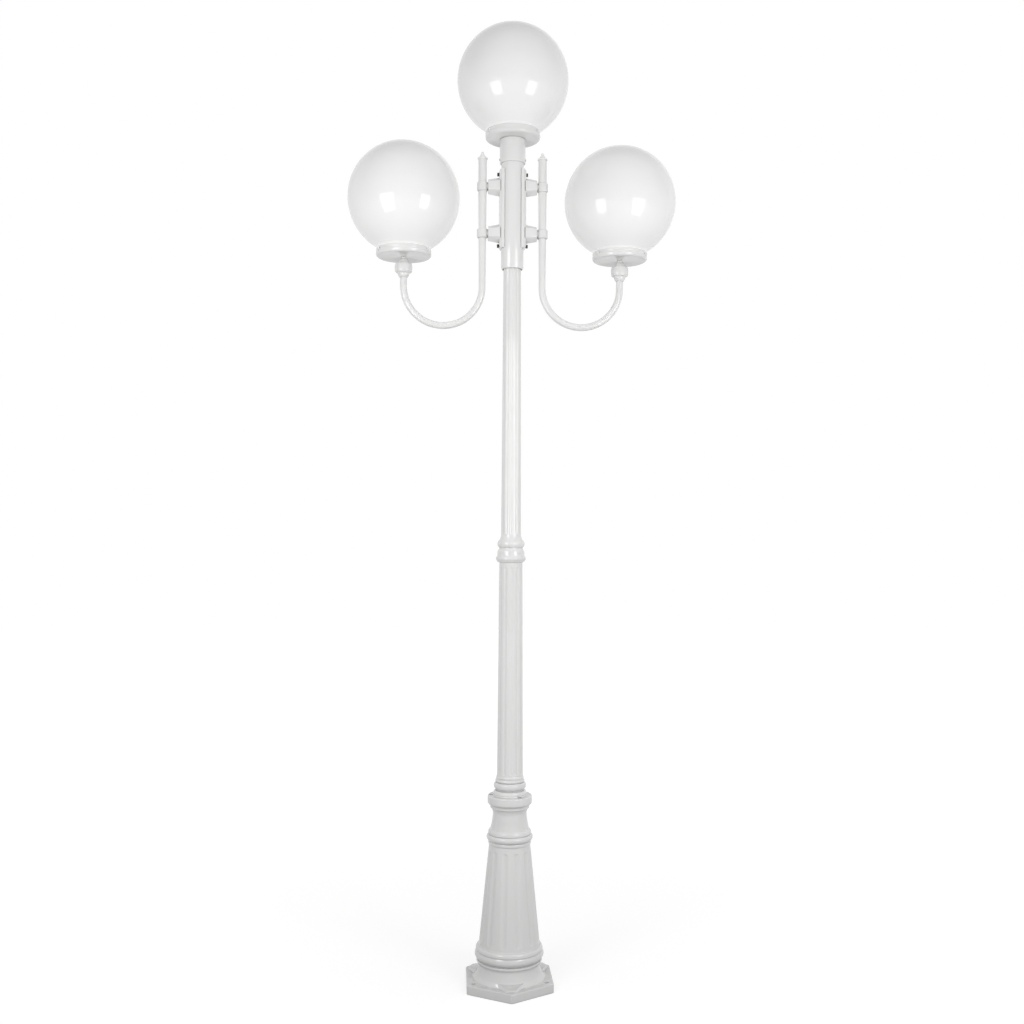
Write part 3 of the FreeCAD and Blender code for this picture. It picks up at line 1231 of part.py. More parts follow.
def check_and_export():
    """Stop on any failed object, then write one file for each piece."""
    document.recompute()
    failed = [item.Name for item in document.Objects if {"Invalid", "Error"} & set(item.State)]
    if failed:
        raise ValueError(f"objects that failed: {failed}")
    os.makedirs("parts", exist_ok=True)
    for piece in pieces:
        if piece.Shape.isNull() or not piece.Shape.isValid():
            raise ValueError(f"{piece.Label} has no valid shape")
    for piece in pieces:
        piece.Shape.exportStep(os.path.join("parts", f"{piece.Label}.step"))
    print(len(pieces), "pieces")


build()
check_and_export()
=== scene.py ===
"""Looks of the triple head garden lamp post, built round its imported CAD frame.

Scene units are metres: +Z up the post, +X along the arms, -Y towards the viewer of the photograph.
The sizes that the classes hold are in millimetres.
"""

import logging
import math
from collections.abc import Callable
from dataclasses import dataclass, replace
from enum import Enum

import bmesh
import bpy
from mathutils import Matrix, Vector


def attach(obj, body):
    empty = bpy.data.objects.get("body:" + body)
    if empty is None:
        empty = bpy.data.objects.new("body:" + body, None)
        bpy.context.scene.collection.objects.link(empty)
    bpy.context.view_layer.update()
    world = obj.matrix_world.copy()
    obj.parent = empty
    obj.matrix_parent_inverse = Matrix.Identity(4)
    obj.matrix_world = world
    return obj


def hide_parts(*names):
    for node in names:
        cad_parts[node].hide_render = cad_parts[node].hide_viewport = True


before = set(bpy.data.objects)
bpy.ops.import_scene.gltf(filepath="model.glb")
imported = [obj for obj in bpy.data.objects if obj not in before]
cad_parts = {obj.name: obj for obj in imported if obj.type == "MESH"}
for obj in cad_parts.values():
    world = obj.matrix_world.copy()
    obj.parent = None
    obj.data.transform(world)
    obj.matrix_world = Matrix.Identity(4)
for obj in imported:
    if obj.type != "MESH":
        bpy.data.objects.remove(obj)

LOG = logging.getLogger("lamp_post")
MM = 0.001
DOUBLES = 0.003 * MM
SMOOTH = math.radians(35.0)
ORIGIN = (0.0, 0.0, 0.0)
UPRIGHT = (0.0, 0.0, 1.0)
BLACK = (0.0, 0.0, 0.0)
WHITE = (1.0, 1.0, 1.0)
# Grey of the painted shade on upward-facing ledges.
UPWARD_SHADE = (0.55, 0.55, 0.545)

# Ranges of a noise, an openness or a slope over which a look comes in.
PATCHES = (0.32, 0.68)
# HOLLOWS and SEAMS set where painted shade comes in.
HOLLOWS = (0.18, 0.55)
SEAMS = (0.45, 0.80)
FLECKS = (0.3, 0.6)
EDGE_BREAKUP = (0.45, 0.62)
# SHARP_EDGES sets where the painted edge highlight comes in.
SHARP_EDGES = (0.53, 0.62)
# UPWARD_FACES sets where the painted shade on ledges comes in.
UPWARD_FACES = (0.75, 0.98)
# DOWNWARD_FACES and SHELL_CORNERS set where the painted glow comes in.
DOWNWARD_FACES = (-0.75, 0.15)
SHELL_CORNERS = (0.25, 0.85)
GLOSS_DRIFT = (0.3, 0.7)

Triple = tuple[float, float, float]
Colour = Triple
Corner = tuple
MeshObject = bpy.types.Object
Socket = bpy.types.NodeSocket


# ---------------------------------------------------------------- choices

class Side(Enum):
    """The two arms; the value is the sign of their X."""

    LEFT = -1
    RIGHT = 1


class Head(Enum):
    """The three heads: X and the height of the underside of the fitter, in millimetres."""

    LEFT = (-243.2, 1628.0)
    RIGHT = (243.2, 1628.0)
    TOP = (0.0, 1896.0)

    @property
    def label(self) -> str:
        """The head's name as the CAD nodes spell it."""
        return self.name.lower()

    @property
    def across(self) -> float:
        """How far along X the head's axis stands."""
        return self.value[0]

    @property
    def up(self) -> float:
        """Height of the underside of the head's fitter."""
        return self.value[1]


class Swell(Enum):
    """Which side of its run an outline's arc swells to."""

    RIGHT = 1
    LEFT = -1


# ---------------------------------------------------------------- finishes

def grey(value: float) -> Colour:
    """A grey as a colour."""
    return (value, value, value)


class NodeSheet:
    """The node tree of a material or the world, with short calls to add and join nodes."""

    def __init__(self, owner: bpy.types.Material | bpy.types.World) -> None:
        """Start an empty sheet.

        Args:
            owner: The material or world.
        """
        owner.use_nodes = True
        self.owner = owner
        self.tree = owner.node_tree
        self.tree.nodes.clear()

    def add(self, kind: str, **settings: object) -> bpy.types.Node:
        """Add a node and set its own options.

        Args:
            kind: The node's type name.
            **settings: Attributes of the node.

        Returns:
            The new node.
        """
        node = self.tree.nodes.new(kind)
        for key, value in settings.items():
            setattr(node, key, value)
        return node

    def join(self, source: Socket | float, target: Socket) -> None:
        """Link an output to an input, or set the input to a number."""
        if isinstance(source, Socket):
            self.tree.links.new(source, target)
        else:
            target.default_value = source

    def finish_with(self, surface: Socket, kind: str = "ShaderNodeOutputMaterial") -> None:
        """Link a shader to the sheet's output node."""
        self.join(surface, self.add(kind).inputs["Surface"])

    def noise(self, coords: Socket, scale: float, detail: float) -> Socket:
        """Add a noise pattern on the object's own coordinates.

        Args:
            coords: The coordinates that it reads.
            scale: Features for each metre.
            detail: Finer layers.

        Returns:
            The pattern's factor output.
        """
        node = self.add("ShaderNodeTexNoise")
        node.inputs["Scale"].default_value = scale
        node.inputs["Detail"].default_value = detail
        node.inputs["Roughness"].default_value = 0.55
        self.join(coords, node.inputs["Vector"])
        return node.outputs["Fac"]

    def remap(self, source: Socket, low: float, high: float, first: float, last: float) -> Socket:
        """Map a value's range to another one, clamped.

        Args:
            source: The value.
            low: Input that gives first.
            high: Input that gives last.
            first: Output at low.
            last: Output at high.

        Returns:
            The mapped value.
        """
        node = self.add("ShaderNodeMapRange")
        for key, value in (("From Min", low), ("From Max", high), ("To Min", first), ("To Max", last)):
            node.inputs[key].default_value = value
        self.join(source, node.inputs["Value"])
        return node.outputs["Result"]

    def maths(self, operation: str, one: Socket | float, other: Socket | float) -> Socket:
        """Combine two values.

        Args:
            operation: The operation's name.
            one: An output or a number.
            other: An output or a number.

        Returns:
            The result.
        """
        node = self.add("ShaderNodeMath", operation=operation)
        self.join(one, node.inputs[0])
        self.join(other, node.inputs[1])
        return node.outputs["Value"]

    def openness(self, reach: float) -> Socket:
        """How open a spot is to what lies within reach: 0 in a closed corner, 1 on a free face."""
        node = self.add("ShaderNodeAmbientOcclusion", samples=4)
        node.inputs["Distance"].default_value = reach
        return node.outputs["AO"]

    def facing_up(self) -> Socket:
        """The Z part of the surface's normal."""
        node = self.add("ShaderNodeSeparateXYZ")
        self.join(self.add("ShaderNodeNewGeometry").outputs["Normal"], node.inputs["Vector"])
        return node.outputs["Z"]

    def mix(self, factor: Socket, one: object, other: object) -> Socket:
        """Blend two colours.

        Args:
            factor: 0 gives one, 1 gives other.
            one: A colour or a colour output.
            other: A colour or a colour output.

        Returns:
            The blended colour.
        """
        node = self.add("ShaderNodeMix", data_type="RGBA")
        self.join(factor, node.inputs["Factor"])
        for slot, value in ((6, one), (7, other)):
            if isinstance(value, tuple):
                node.inputs[slot].default_value = (*value, 1.0)
            else:
                self.join(value, node.inputs[slot])
        return node.outputs[2]

    def bump(self, height: Socket, depth: float, below: Socket | None = None) -> Socket:
        """Add relief.

        Args:
            height: The relief's pattern.
            depth: Its depth in metres.
            below: The normal of a coarser relief under it.

        Returns:
            The normal output.
        """
        node = self.add("ShaderNodeBump")
        node.inputs["Distance"].default_value = depth
        self.join(height, node.inputs["Height"])
        if below is not None:
            self.join(below, node.inputs["Normal"])
        return node.outputs["Normal"]


@dataclass(frozen=True)
class Finish:
    """A finish whose colour drifts, darkens with painted shade and dust in grooves and corners, and lightens
    on sharp edges with a painted highlight and wear.

    Attributes:
        name: Name of the material.
        slot: The record's material slot that it belongs to; not used.
        colour: Plain colour of the surface.
        hollow: Colour in grooves, holes and corners: painted shade where the surroundings are shut out, with
            some dust.
        rubbed: Colour of sharp edges: a painted highlight on pale finishes, wear on dark metal.
        roughness: Plain roughness.
        roughness_drift: How far the roughness drifts either way.
        patch: Colour patches for each metre.
        patch_drift: How much lighter or darker a patch is.
        grain: Fine relief features for each metre.
        grain_depth: Depth of the fine relief in metres.
        swell: Coarse relief features for each metre.
        swell_depth: Depth of the coarse relief in metres.
        hollow_reach: How far the shading of hollows reaches, in metres.
        hollow_share: How much of that painted shade and dust colour a closed corner takes.
        seam_share: How much of that colour, as painted shade, a thin seam between two faces takes.
        dust_share: How much of the grey of a painted shade a level ledge takes.
        rub_share: How much of that edge colour an edge takes.
        stretch: Stretch of the relief along each axis, for drawn and turned metal.
        metallic: Metallic share.
        refraction: Index of refraction.
        depth_glow: Share of light that spreads under the surface.
        glow_reach: How far that light spreads, in metres.
        carried: Strength of a painted glow, given as emission, where a milky shell faces down and in its
            closed corners.
        carried_down: Share of that painted glow where the shell faces the ground.
        carried_reach: How near a closed corner's faces are, in metres.
    """

    name: str
    slot: str
    colour: Colour
    hollow: Colour
    rubbed: Colour
    roughness: float
    roughness_drift: float
    patch: float
    patch_drift: float
    grain: float
    grain_depth: float
    swell: float
    swell_depth: float
    hollow_reach: float = 0.006
    hollow_share: float = 0.5
    seam_share: float = 0.2
    dust_share: float = 0.0
    rub_share: float = 0.3
    stretch: Triple = (1.0, 1.0, 1.0)
    metallic: float = 0.0
    refraction: float = 1.5
    depth_glow: float = 0.0
    glow_reach: float = 0.01
    carried: float = 0.0
    carried_down: float = 0.25
    carried_reach: float = 0.03

    def material(self) -> bpy.types.Material:
        """Return the finish's material, made on its first use."""
        known = bpy.data.materials.get(self.name)
        return known if known else self.make()

    def make(self) -> bpy.types.Material:
        """Build the material's nodes.

        Returns:
            The new material.
        """
        sheet = NodeSheet(bpy.data.materials.new(self.name))
        coords = sheet.add("ShaderNodeTexCoord").outputs["Object"]
        shader = sheet.add("ShaderNodeBsdfPrincipled")
        sheet.finish_with(shader.outputs["BSDF"])
        shader.inputs["Metallic"].default_value = self.metallic
        shader.inputs["IOR"].default_value = self.refraction
        if self.depth_glow:
            shader.inputs["Subsurface Weight"].default_value = self.depth_glow
            shader.inputs["Subsurface Radius"].default_value = WHITE
            shader.inputs["Subsurface Scale"].default_value = self.glow_reach
        # Painted glow: emission on the shell where it faces down and in its closed corners.
        if self.carried:
            shader.inputs["Emission Strength"].default_value = self.carried
            sheet.join(self.carry_light(sheet), shader.inputs["Emission Color"])
        sheet.join(self.paint(sheet, coords), shader.inputs["Base Color"])
        sheet.join(self.polish(sheet, coords), shader.inputs["Roughness"])
        sheet.join(self.relief(sheet, coords), shader.inputs["Normal"])
        return sheet.owner

    def carry_light(self, sheet: NodeSheet) -> Socket:
        """Painted glow, given as emission where the shell faces down and in its closed corners.

        Args:
            sheet: The node tree.

        Returns:
            The colour of that painted glow.
        """
        down = sheet.remap(sheet.facing_up(), *DOWNWARD_FACES, self.carried_down, 0.0)
        closed = sheet.remap(sheet.openness(self.carried_reach), *SHELL_CORNERS, 1.0, 0.0)
        return sheet.mix(closed, sheet.mix(down, BLACK, WHITE), WHITE)

    def paint(self, sheet: NodeSheet, coords: Socket) -> Socket:
        """Colour with patches, painted shade and dust in grooves, painted shade on ledges, and a painted
        highlight and wear on edges.

        Args:
            sheet: The node tree.
            coords: Object coordinates.

        Returns:
            The colour output.
        """
        pale = tuple(min(1.0, part * (1.0 + self.patch_drift)) for part in self.colour)
        deep = tuple(part * (1.0 - self.patch_drift) for part in self.colour)
        patches = sheet.remap(sheet.noise(coords, self.patch, 3.0), *PATCHES, 0.0, 1.0)
        colour = sheet.mix(patches, deep, pale)
        # Painted shade, with some dust: the corner colour comes in where little of the surroundings is open.
        closed = sheet.remap(sheet.openness(self.hollow_reach), *HOLLOWS, self.hollow_share, 0.0)
        broken = sheet.remap(sheet.noise(coords, self.patch * 9.0, 4.0), *FLECKS, 0.55, 1.0)
        colour = sheet.mix(sheet.maths("MULTIPLY", closed, broken), colour, self.hollow)
        # Painted shade along thin seams between faces.
        seam = sheet.remap(sheet.openness(self.hollow_reach / 3.0), *SEAMS, self.seam_share, 0.0)
        colour = sheet.mix(seam, colour, self.hollow)
        # Painted shade on upward-facing ledges, broken into flecks.
        if self.dust_share:
            level = sheet.remap(sheet.facing_up(), *UPWARD_FACES, 0.0, self.dust_share)
            colour = sheet.mix(sheet.maths("MULTIPLY", level, broken), colour, UPWARD_SHADE)
        # Sharp edges lighten: a painted highlight on pale finishes, wear on dark metal, broken up by noise.
        edge = sheet.add("ShaderNodeNewGeometry").outputs["Pointiness"]
        edge = sheet.remap(edge, *SHARP_EDGES, 0.0, self.rub_share)
        edge_breakup = sheet.remap(sheet.noise(coords, self.patch * 14.0, 5.0), *EDGE_BREAKUP, 0.0, 1.0)
        return sheet.mix(sheet.maths("MULTIPLY", edge, edge_breakup), colour, self.rubbed)

    def polish(self, sheet: NodeSheet, coords: Socket) -> Socket:
        """Roughness that drifts over the surface.

        Args:
            sheet: The node tree.
            coords: Object coordinates.

        Returns:
            The roughness output.
        """
        low = max(0.02, self.roughness - self.roughness_drift)
        high = min(1.0, self.roughness + self.roughness_drift)
        return sheet.remap(sheet.noise(coords, self.patch * 5.0, 4.0), *GLOSS_DRIFT, low, high)

    def relief(self, sheet: NodeSheet, coords: Socket) -> Socket:
        """Coarse and fine relief.

        Args:
            sheet: The node tree.
            coords: Object coordinates.

        Returns:
            The normal output.
        """
        mapping = sheet.add("ShaderNodeMapping")
        mapping.inputs["Scale"].default_value = self.stretch
        sheet.join(coords, mapping.inputs["Vector"])
        placed = mapping.outputs["Vector"]
        coarse = sheet.bump(sheet.noise(placed, self.swell, 2.0), self.swell_depth)
        return sheet.bump(sheet.noise(placed, self.grain, 3.0), self.grain_depth, coarse)

    def dress(self, piece: MeshObject) -> None:
        """Give the finish to every face of a piece.

        Args:
            piece: A mesh of this script or a CAD node.
        """
        material = self.material()
        if not piece.material_slots:
            piece.data.materials.append(material)
        for slot in piece.material_slots:
            slot.material = material


# In each finish the corner colour is painted shade with some dust, and the paler edge colour a painted
# highlight (wear on dark metal).
WHITE_COAT = Finish(
    name="gloss_white_coat", slot="coated_casting", colour=(0.80, 0.80, 0.795), hollow=(0.15, 0.15, 0.145),
    rubbed=(0.86, 0.86, 0.86), roughness=0.09, roughness_drift=0.02, patch=7.0, patch_drift=0.012,
    grain=900.0, grain_depth=0.000002, swell=55.0, swell_depth=0.00002, hollow_reach=0.009,
    hollow_share=0.85, seam_share=0.35, dust_share=0.70, rub_share=0.25, refraction=1.6,
)
HEAD_COAT = replace(WHITE_COAT, name="gloss_white_head_coat", hollow=(0.50, 0.50, 0.495), hollow_share=0.5,
                    dust_share=0.0)
# A paler copy of the head coat for the finials: painted light standing in for how brightly they are lit.
FINIAL_LIT_COAT = replace(HEAD_COAT, name="bright_white_finial_coat", colour=(0.92, 0.92, 0.915), roughness=0.10)
TUBE_COAT = Finish(
    name="gloss_white_tube_coat", slot="coated_tube", colour=(0.81, 0.81, 0.805), hollow=(0.25, 0.25, 0.245),
    rubbed=(0.86, 0.86, 0.86), roughness=0.09, roughness_drift=0.02, patch=6.0, patch_drift=0.010,
    grain=1100.0, grain_depth=0.000001, swell=40.0, swell_depth=0.00001, hollow_reach=0.004,
    hollow_share=0.45, seam_share=0.3, rub_share=0.3, refraction=1.58,
)
SCREW_COAT = Finish(
    name="white_coated_screws", slot="coated_screw", colour=(0.80, 0.80, 0.795), hollow=(0.62, 0.62, 0.61),
    rubbed=(0.62, 0.62, 0.61), roughness=0.32, roughness_drift=0.06, patch=30.0, patch_drift=0.02,
    grain=1500.0, grain_depth=0.00004, swell=160.0, swell_depth=0.00008, hollow_reach=0.002,
    rub_share=0.5,
)
# The globe's painted glow brightens its underside and closed corners.
OPAL = Finish(
    name="opal_globe_shell", slot="opal_globe", colour=(0.875, 0.875, 0.873), hollow=(0.78, 0.80, 0.79),
    rubbed=(0.93, 0.93, 0.93), roughness=0.02, roughness_drift=0.004, patch=9.0, patch_drift=0.008,
    grain=420.0, grain_depth=0.000001, swell=14.0, swell_depth=0.00004, hollow_reach=0.004,
    hollow_share=0.15, rub_share=0.1, refraction=1.49, carried=0.34,
)
DARK_STEEL = Finish(
    name="blackened_steel_bolts", slot="dark_steel", colour=(0.055, 0.052, 0.050),
    hollow=(0.02, 0.018, 0.016), rubbed=(0.34, 0.33, 0.32), roughness=0.42, roughness_drift=0.12,
    patch=60.0, patch_drift=0.25, grain=1800.0, grain_depth=0.00006, swell=260.0, swell_depth=0.00010,
    hollow_reach=0.002, rub_share=0.7, metallic=0.8,
)
PLATED_STEEL = Finish(
    name="zinc_plated_steel", slot="plated_steel", colour=(0.62, 0.62, 0.60), hollow=(0.30, 0.28, 0.24),
    rubbed=(0.78, 0.78, 0.76), roughness=0.34, roughness_drift=0.10, patch=35.0, patch_drift=0.10,
    grain=1400.0, grain_depth=0.00004, swell=120.0, swell_depth=0.00006, hollow_reach=0.003,
    stretch=(1.0, 1.0, 6.0), metallic=1.0,
)
BRASS = Finish(
    name="turned_brass", slot="brass_part", colour=(0.72, 0.53, 0.25), hollow=(0.28, 0.18, 0.07),
    rubbed=(0.86, 0.70, 0.40), roughness=0.30, roughness_drift=0.10, patch=45.0, patch_drift=0.12,
    grain=1600.0, grain_depth=0.00004, swell=150.0, swell_depth=0.00005, hollow_reach=0.002,
    stretch=(1.0, 1.0, 8.0), metallic=1.0,
)
CAP_METAL = Finish(
    name="nickel_plated_screw_cap", slot="lamp_cap_metal", colour=(0.73, 0.72, 0.70),
    hollow=(0.34, 0.33, 0.31), rubbed=(0.88, 0.88, 0.87), roughness=0.24, roughness_drift=0.08,
    patch=50.0, patch_drift=0.08, grain=1500.0, grain_depth=0.00003, swell=170.0, swell_depth=0.00005,
    hollow_reach=0.002, stretch=(1.0, 1.0, 7.0), metallic=1.0,
)
LAMP_ENVELOPE = Finish(
    name="satin_lamp_envelope", slot="lamp_envelope", colour=(0.84, 0.84, 0.82), hollow=(0.60, 0.60, 0.58),
    rubbed=(0.88, 0.88, 0.87), roughness=0.48, roughness_drift=0.06, patch=18.0, patch_drift=0.015,
    grain=1300.0, grain_depth=0.00003, swell=45.0, swell_depth=0.00008, depth_glow=0.2, glow_reach=0.006,
)
CERAMIC = Finish(
    name="glazed_holder_ceramic", slot="holder_ceramic", colour=(0.82, 0.81, 0.77), hollow=(0.50, 0.46, 0.38),
    rubbed=(0.70, 0.66, 0.58), roughness=0.16, roughness_drift=0.06, patch=40.0, patch_drift=0.03,
    grain=700.0, grain_depth=0.00004, swell=90.0, swell_depth=0.00015, hollow_reach=0.003, refraction=1.54,
)
RUBBER = Finish(
    name="white_silicone_gasket", slot="gasket_rubber", colour=(0.70, 0.70, 0.68), hollow=(0.45, 0.44, 0.42),
    rubbed=(0.78, 0.78, 0.77), roughness=0.72, roughness_drift=0.08, patch=30.0, patch_drift=0.04,
    grain=1700.0, grain_depth=0.00005, swell=120.0, swell_depth=0.00008, hollow_reach=0.003,
)
TERMINAL_PLASTIC = Finish(
    name="terminal_block_plastic", slot="terminal_plastic", colour=(0.66, 0.66, 0.61),
    hollow=(0.34, 0.33, 0.29), rubbed=(0.76, 0.76, 0.72), roughness=0.55, roughness_drift=0.08,
    patch=40.0, patch_drift=0.04, grain=1900.0, grain_depth=0.00006, swell=130.0, swell_depth=0.00010,
    hollow_reach=0.003,
)


# ---------------------------------------------------------------- outlines

@dataclass(frozen=True)
class Arc:
    """How an outline arrives at a corner on an arc.

    Attributes:
        swell: The side of the run that the arc swells to.
        radius: The arc's radius in millimetres.
    """

    swell: Swell
    radius: float

    def between(self, start: Vector, end: Vector, step: float) -> list[Vector]:
        """Points along the arc, without its two ends.

        Args:
            start: Where it starts.
            end: Where it ends.
            step: Largest turn between two points, in degrees.

        Returns:
            The points in order.
        """
        chord = end - start
        half = chord.length / 2.0
        reach = math.sqrt(max(self.radius ** 2 - half ** 2, 0.0))
        right = Vector((chord.y, -chord.x)).normalized() * self.swell.value
        centre = (start + end) / 2.0 - right * reach
        sweep = 2.0 * math.asin(min(1.0, half / self.radius)) * self.swell.value
        count = max(3, math.ceil(abs(math.degrees(sweep)) / step))
        arm = start - centre
        return [centre + Matrix.Rotation(sweep * index / count, 2) @ arm for index in range(1, count)]


def bead(radius: float) -> Arc:
    """An arc that swells outward on a rising outline."""
    return Arc(Swell.RIGHT, radius)


def cove(radius: float) -> Arc:
    """An arc that hollows a rising outline."""
    return Arc(Swell.LEFT, radius)


@dataclass(frozen=True)
class Outline:
    """A turned piece's half section: corners of (across, up) with an Arc where a curve arrives.

    Attributes:
        corners: The corners in order, in millimetres.
        closed: Whether the last corner runs back to the first.
        soften: How far back from a sharp corner its rounding starts.
        step: Largest turn between two points of an arc, in degrees.
    """

    corners: list[Corner]
    closed: bool = True
    soften: float = 0.4
    step: float = 12.0

    def points(self) -> list[Vector]:
        """Close points along the outline, with its sharp corners rounded.

        Returns:
            The points in order; a closed outline ends where it starts.
        """
        raw: list[Vector] = []
        for index, corner in enumerate(self.corners):
            end = Vector(corner[:2])
            if len(corner) > 2:
                raw += corner[2].between(Vector(self.corners[index - 1][:2]), end, self.step)
            raw.append(end)
        smooth: list[Vector] = []
        last = len(raw) - 1
        for index, point in enumerate(raw):
            open_end = not self.closed and index in (0, last)
            if open_end or point.x < 0.01:
                smooth.append(point)
                continue
            smooth += self.rounded(raw[index - 1], point, raw[(index + 1) % len(raw)])
        if self.closed:
            smooth.append(smooth[0].copy())
        return smooth

    def rounded(self, before: Vector, corner: Vector, after: Vector) -> list[Vector]:
        """Round one corner if the outline turns sharply there.

        Args:
            before: The point before the corner.
            corner: The corner.
            after: The point after it.

        Returns:
            The corner, or the points of its rounding.
        """
        sharp_turn = math.radians(24.0)
        back = before - corner
        onward = after - corner
        if min(back.length, onward.length) < 0.01 or math.pi - back.angle(onward) < sharp_turn:
            return [corner]
        cut = min(self.soften, 0.4 * back.length, 0.4 * onward.length)
        start = corner + back.normalized() * cut
        end = corner + onward.normalized() * cut
        blend = [((1 - t) ** 2, 2 * t * (1 - t), t * t) for t in (0.0, 0.3, 0.7, 1.0)]
        return [start * a + corner * b + end * c for a, b, c in blend]


# ---------------------------------------------------------------- bench work

def place(across: float, back: float, up: float) -> Vector:
    """Millimetres to a place in the scene."""
    return Vector((across, back, up)) * MM


def pick_only(piece: MeshObject) -> None:
    """Select one object and make it active.

    Args:
        piece: The object.
    """
    bpy.ops.object.select_all(action="DESELECT")
    piece.select_set(True)
    bpy.context.view_layer.objects.active = piece


def rename(piece: MeshObject, name: str) -> MeshObject:
    """Give a piece and its mesh a name, and return it."""
    piece.name = name
    piece.data.name = name
    return piece


def open_piece(name: str) -> MeshObject:
    """Name the object that was just added and open it for editing, all selected.

    Args:
        name: Name of the piece.

    Returns:
        The piece.
    """
    piece = rename(bpy.context.active_object, name)
    pick_only(piece)
    bpy.ops.object.mode_set(mode="EDIT")
    bpy.ops.mesh.select_mode(type="VERT")
    bpy.ops.mesh.select_all(action="SELECT")
    return piece


def start_piece(name: str, add: Callable[..., set], **options: object) -> MeshObject:
    """Add a primitive on its own and open it for editing, all selected.

    Args:
        name: Name of the piece.
        add: The operator that adds it.
        options: The operator's settings.

    Returns:
        The piece.
    """
    bpy.ops.object.select_all(action="DESELECT")
    add(**options)
    return open_piece(name)


def spin_all(steps: int, degrees: float, copies: bool = False, centre: Vector | Triple = ORIGIN) -> None:
    """Spin the whole mesh that is open for editing round an upright axis.

    Args:
        steps: Number of steps.
        degrees: The whole turn.
        copies: Whether each step leaves a copy instead of a wall.
        centre: A place on the axis, in metres.
    """
    bpy.ops.mesh.select_all(action="SELECT")
    bpy.ops.mesh.spin(steps=steps, dupli=copies, angle=math.radians(degrees), center=centre, axis=UPRIGHT)
    bpy.ops.mesh.select_all(action="SELECT")


def close_piece() -> MeshObject:
    """Merge doubles, turn faces outwards, leave edit mode and apply the object's place.

    Returns:
        The piece.
    """
    bpy.ops.mesh.select_all(action="SELECT")
    bpy.ops.mesh.remove_doubles(threshold=DOUBLES)
    bpy.ops.mesh.normals_make_consistent(inside=False)
    bpy.ops.object.mode_set(mode="OBJECT")
    piece = bpy.context.active_object
    pick_only(piece)
    bpy.ops.object.transform_apply(location=True, rotation=True, scale=True)
    bpy.ops.object.shade_smooth_by_angle(angle=SMOOTH)
    return piece


def pick_parts(piece: MeshObject, wanted: Callable[[object], bool], kind: str = "VERT") -> None:
    """Select the vertices or edges of the mesh in edit mode that pass a test.

    Args:
        piece: The mesh that is being edited.
        wanted: A test of a BMVert or BMEdge.
        kind: VERT or EDGE.
    """
    bpy.ops.mesh.select_mode(type=kind)
    bpy.ops.mesh.select_all(action="DESELECT")
    mesh = bmesh.from_edit_mesh(piece.data)
    for part in mesh.verts if kind == "VERT" else mesh.edges:
        part.select = bool(wanted(part))
    mesh.select_flush_mode()
    bmesh.update_edit_mesh(piece.data)


def bevel_edges(piece: MeshObject, wanted: Callable[[object], bool], width: float, segments: int) -> None:
    """Bevel the edges of the mesh in edit mode that pass a test.

    Args:
        piece: The mesh that is being edited.
        wanted: A test of a BMEdge.
        width: Width of the bevel in millimetres.
        segments: Steps of the bevel.
    """
    pick_parts(piece, wanted, "EDGE")
    bpy.ops.mesh.bevel(offset=width * MM, segments=segments, affect="EDGES")


def draw_chain(name: str, points: list[Vector]) -> MeshObject:
    """Draw a chain of edges, started from a tiny plane merged to one vertex.

    Args:
        name: Name of the piece.
        points: Places in the scene, in metres.

    Returns:
        The piece, still in edit mode.
    """
    piece = start_piece(name, bpy.ops.mesh.primitive_plane_add, size=MM, location=ORIGIN)
    bpy.ops.mesh.merge(type="CENTER")
    bpy.ops.transform.translate(value=points[0])
    for start, end in zip(points, points[1:]):
        bpy.ops.mesh.extrude_vertices_move(TRANSFORM_OT_translate={"value": end - start})
    return piece


def turn(name: str, outline: Outline, across: float = 0.0, up: float = 0.0, steps: int = 64) -> MeshObject:
    """Turn an outline once round an upright axis.

    Args:
        name: Name of the piece.
        outline: Its half section.
        across: X of the axis in millimetres.
        up: Height of the outline's zero in millimetres.
        steps: Faces round the piece.

    Returns:
        The finished piece.
    """
    draw_chain(name, [place(across + point.x, 0.0, up + point.y) for point in outline.points()])
    spin_all(steps, 360.0, centre=place(across, 0.0, 0.0))
    return close_piece()


def add_rod(name: str, radius: float, start: Vector, end: Vector, sides: int = 32,
            tip: float | None = None) -> MeshObject:
    """Add a rod, prism or cone between two places; a prism has a corner up.

    Args:
        name: Name of the piece.
        radius: Centre to corner at the start, in millimetres.
        start: Middle of one end, in metres.
        end: Middle of the other end, in metres.
        sides: Number of sides.
        tip: Centre to corner at the end, if it isn't the same.

    Returns:
        The piece, in object mode.
    """
    along = end - start
    bpy.ops.object.select_all(action="DESELECT")
    bpy.ops.mesh.primitive_cone_add(
        vertices=sides, radius1=radius * MM, radius2=(radius if tip is None else tip) * MM,
        depth=along.length, location=(start + end) / 2.0, rotation=along.to_track_quat("Z", "Y").to_euler())
    piece = rename(bpy.context.active_object, name)
    bpy.ops.object.transform_apply(location=True, rotation=True, scale=True)
    return piece


def round_edges(piece: MeshObject, width: float, sharper: float = 30.0, segments: int = 3) -> None:
    """Round every edge that is sharper than an angle.

    Args:
        piece: The piece.
        width: Width of the rounding in millimetres.
        sharper: The angle in degrees.
        segments: Steps of the rounding.
    """
    pick_only(piece)
    bpy.ops.object.modifier_add(type="BEVEL")
    bevel = piece.modifiers[-1]
    bevel.width = width * MM
    bevel.segments = segments
    bevel.limit_method = "ANGLE"
    bevel.angle_limit = math.radians(sharper)
    bpy.ops.object.modifier_apply(modifier=bevel.name)
    bpy.ops.object.shade_smooth_by_angle(angle=math.radians(40.0))


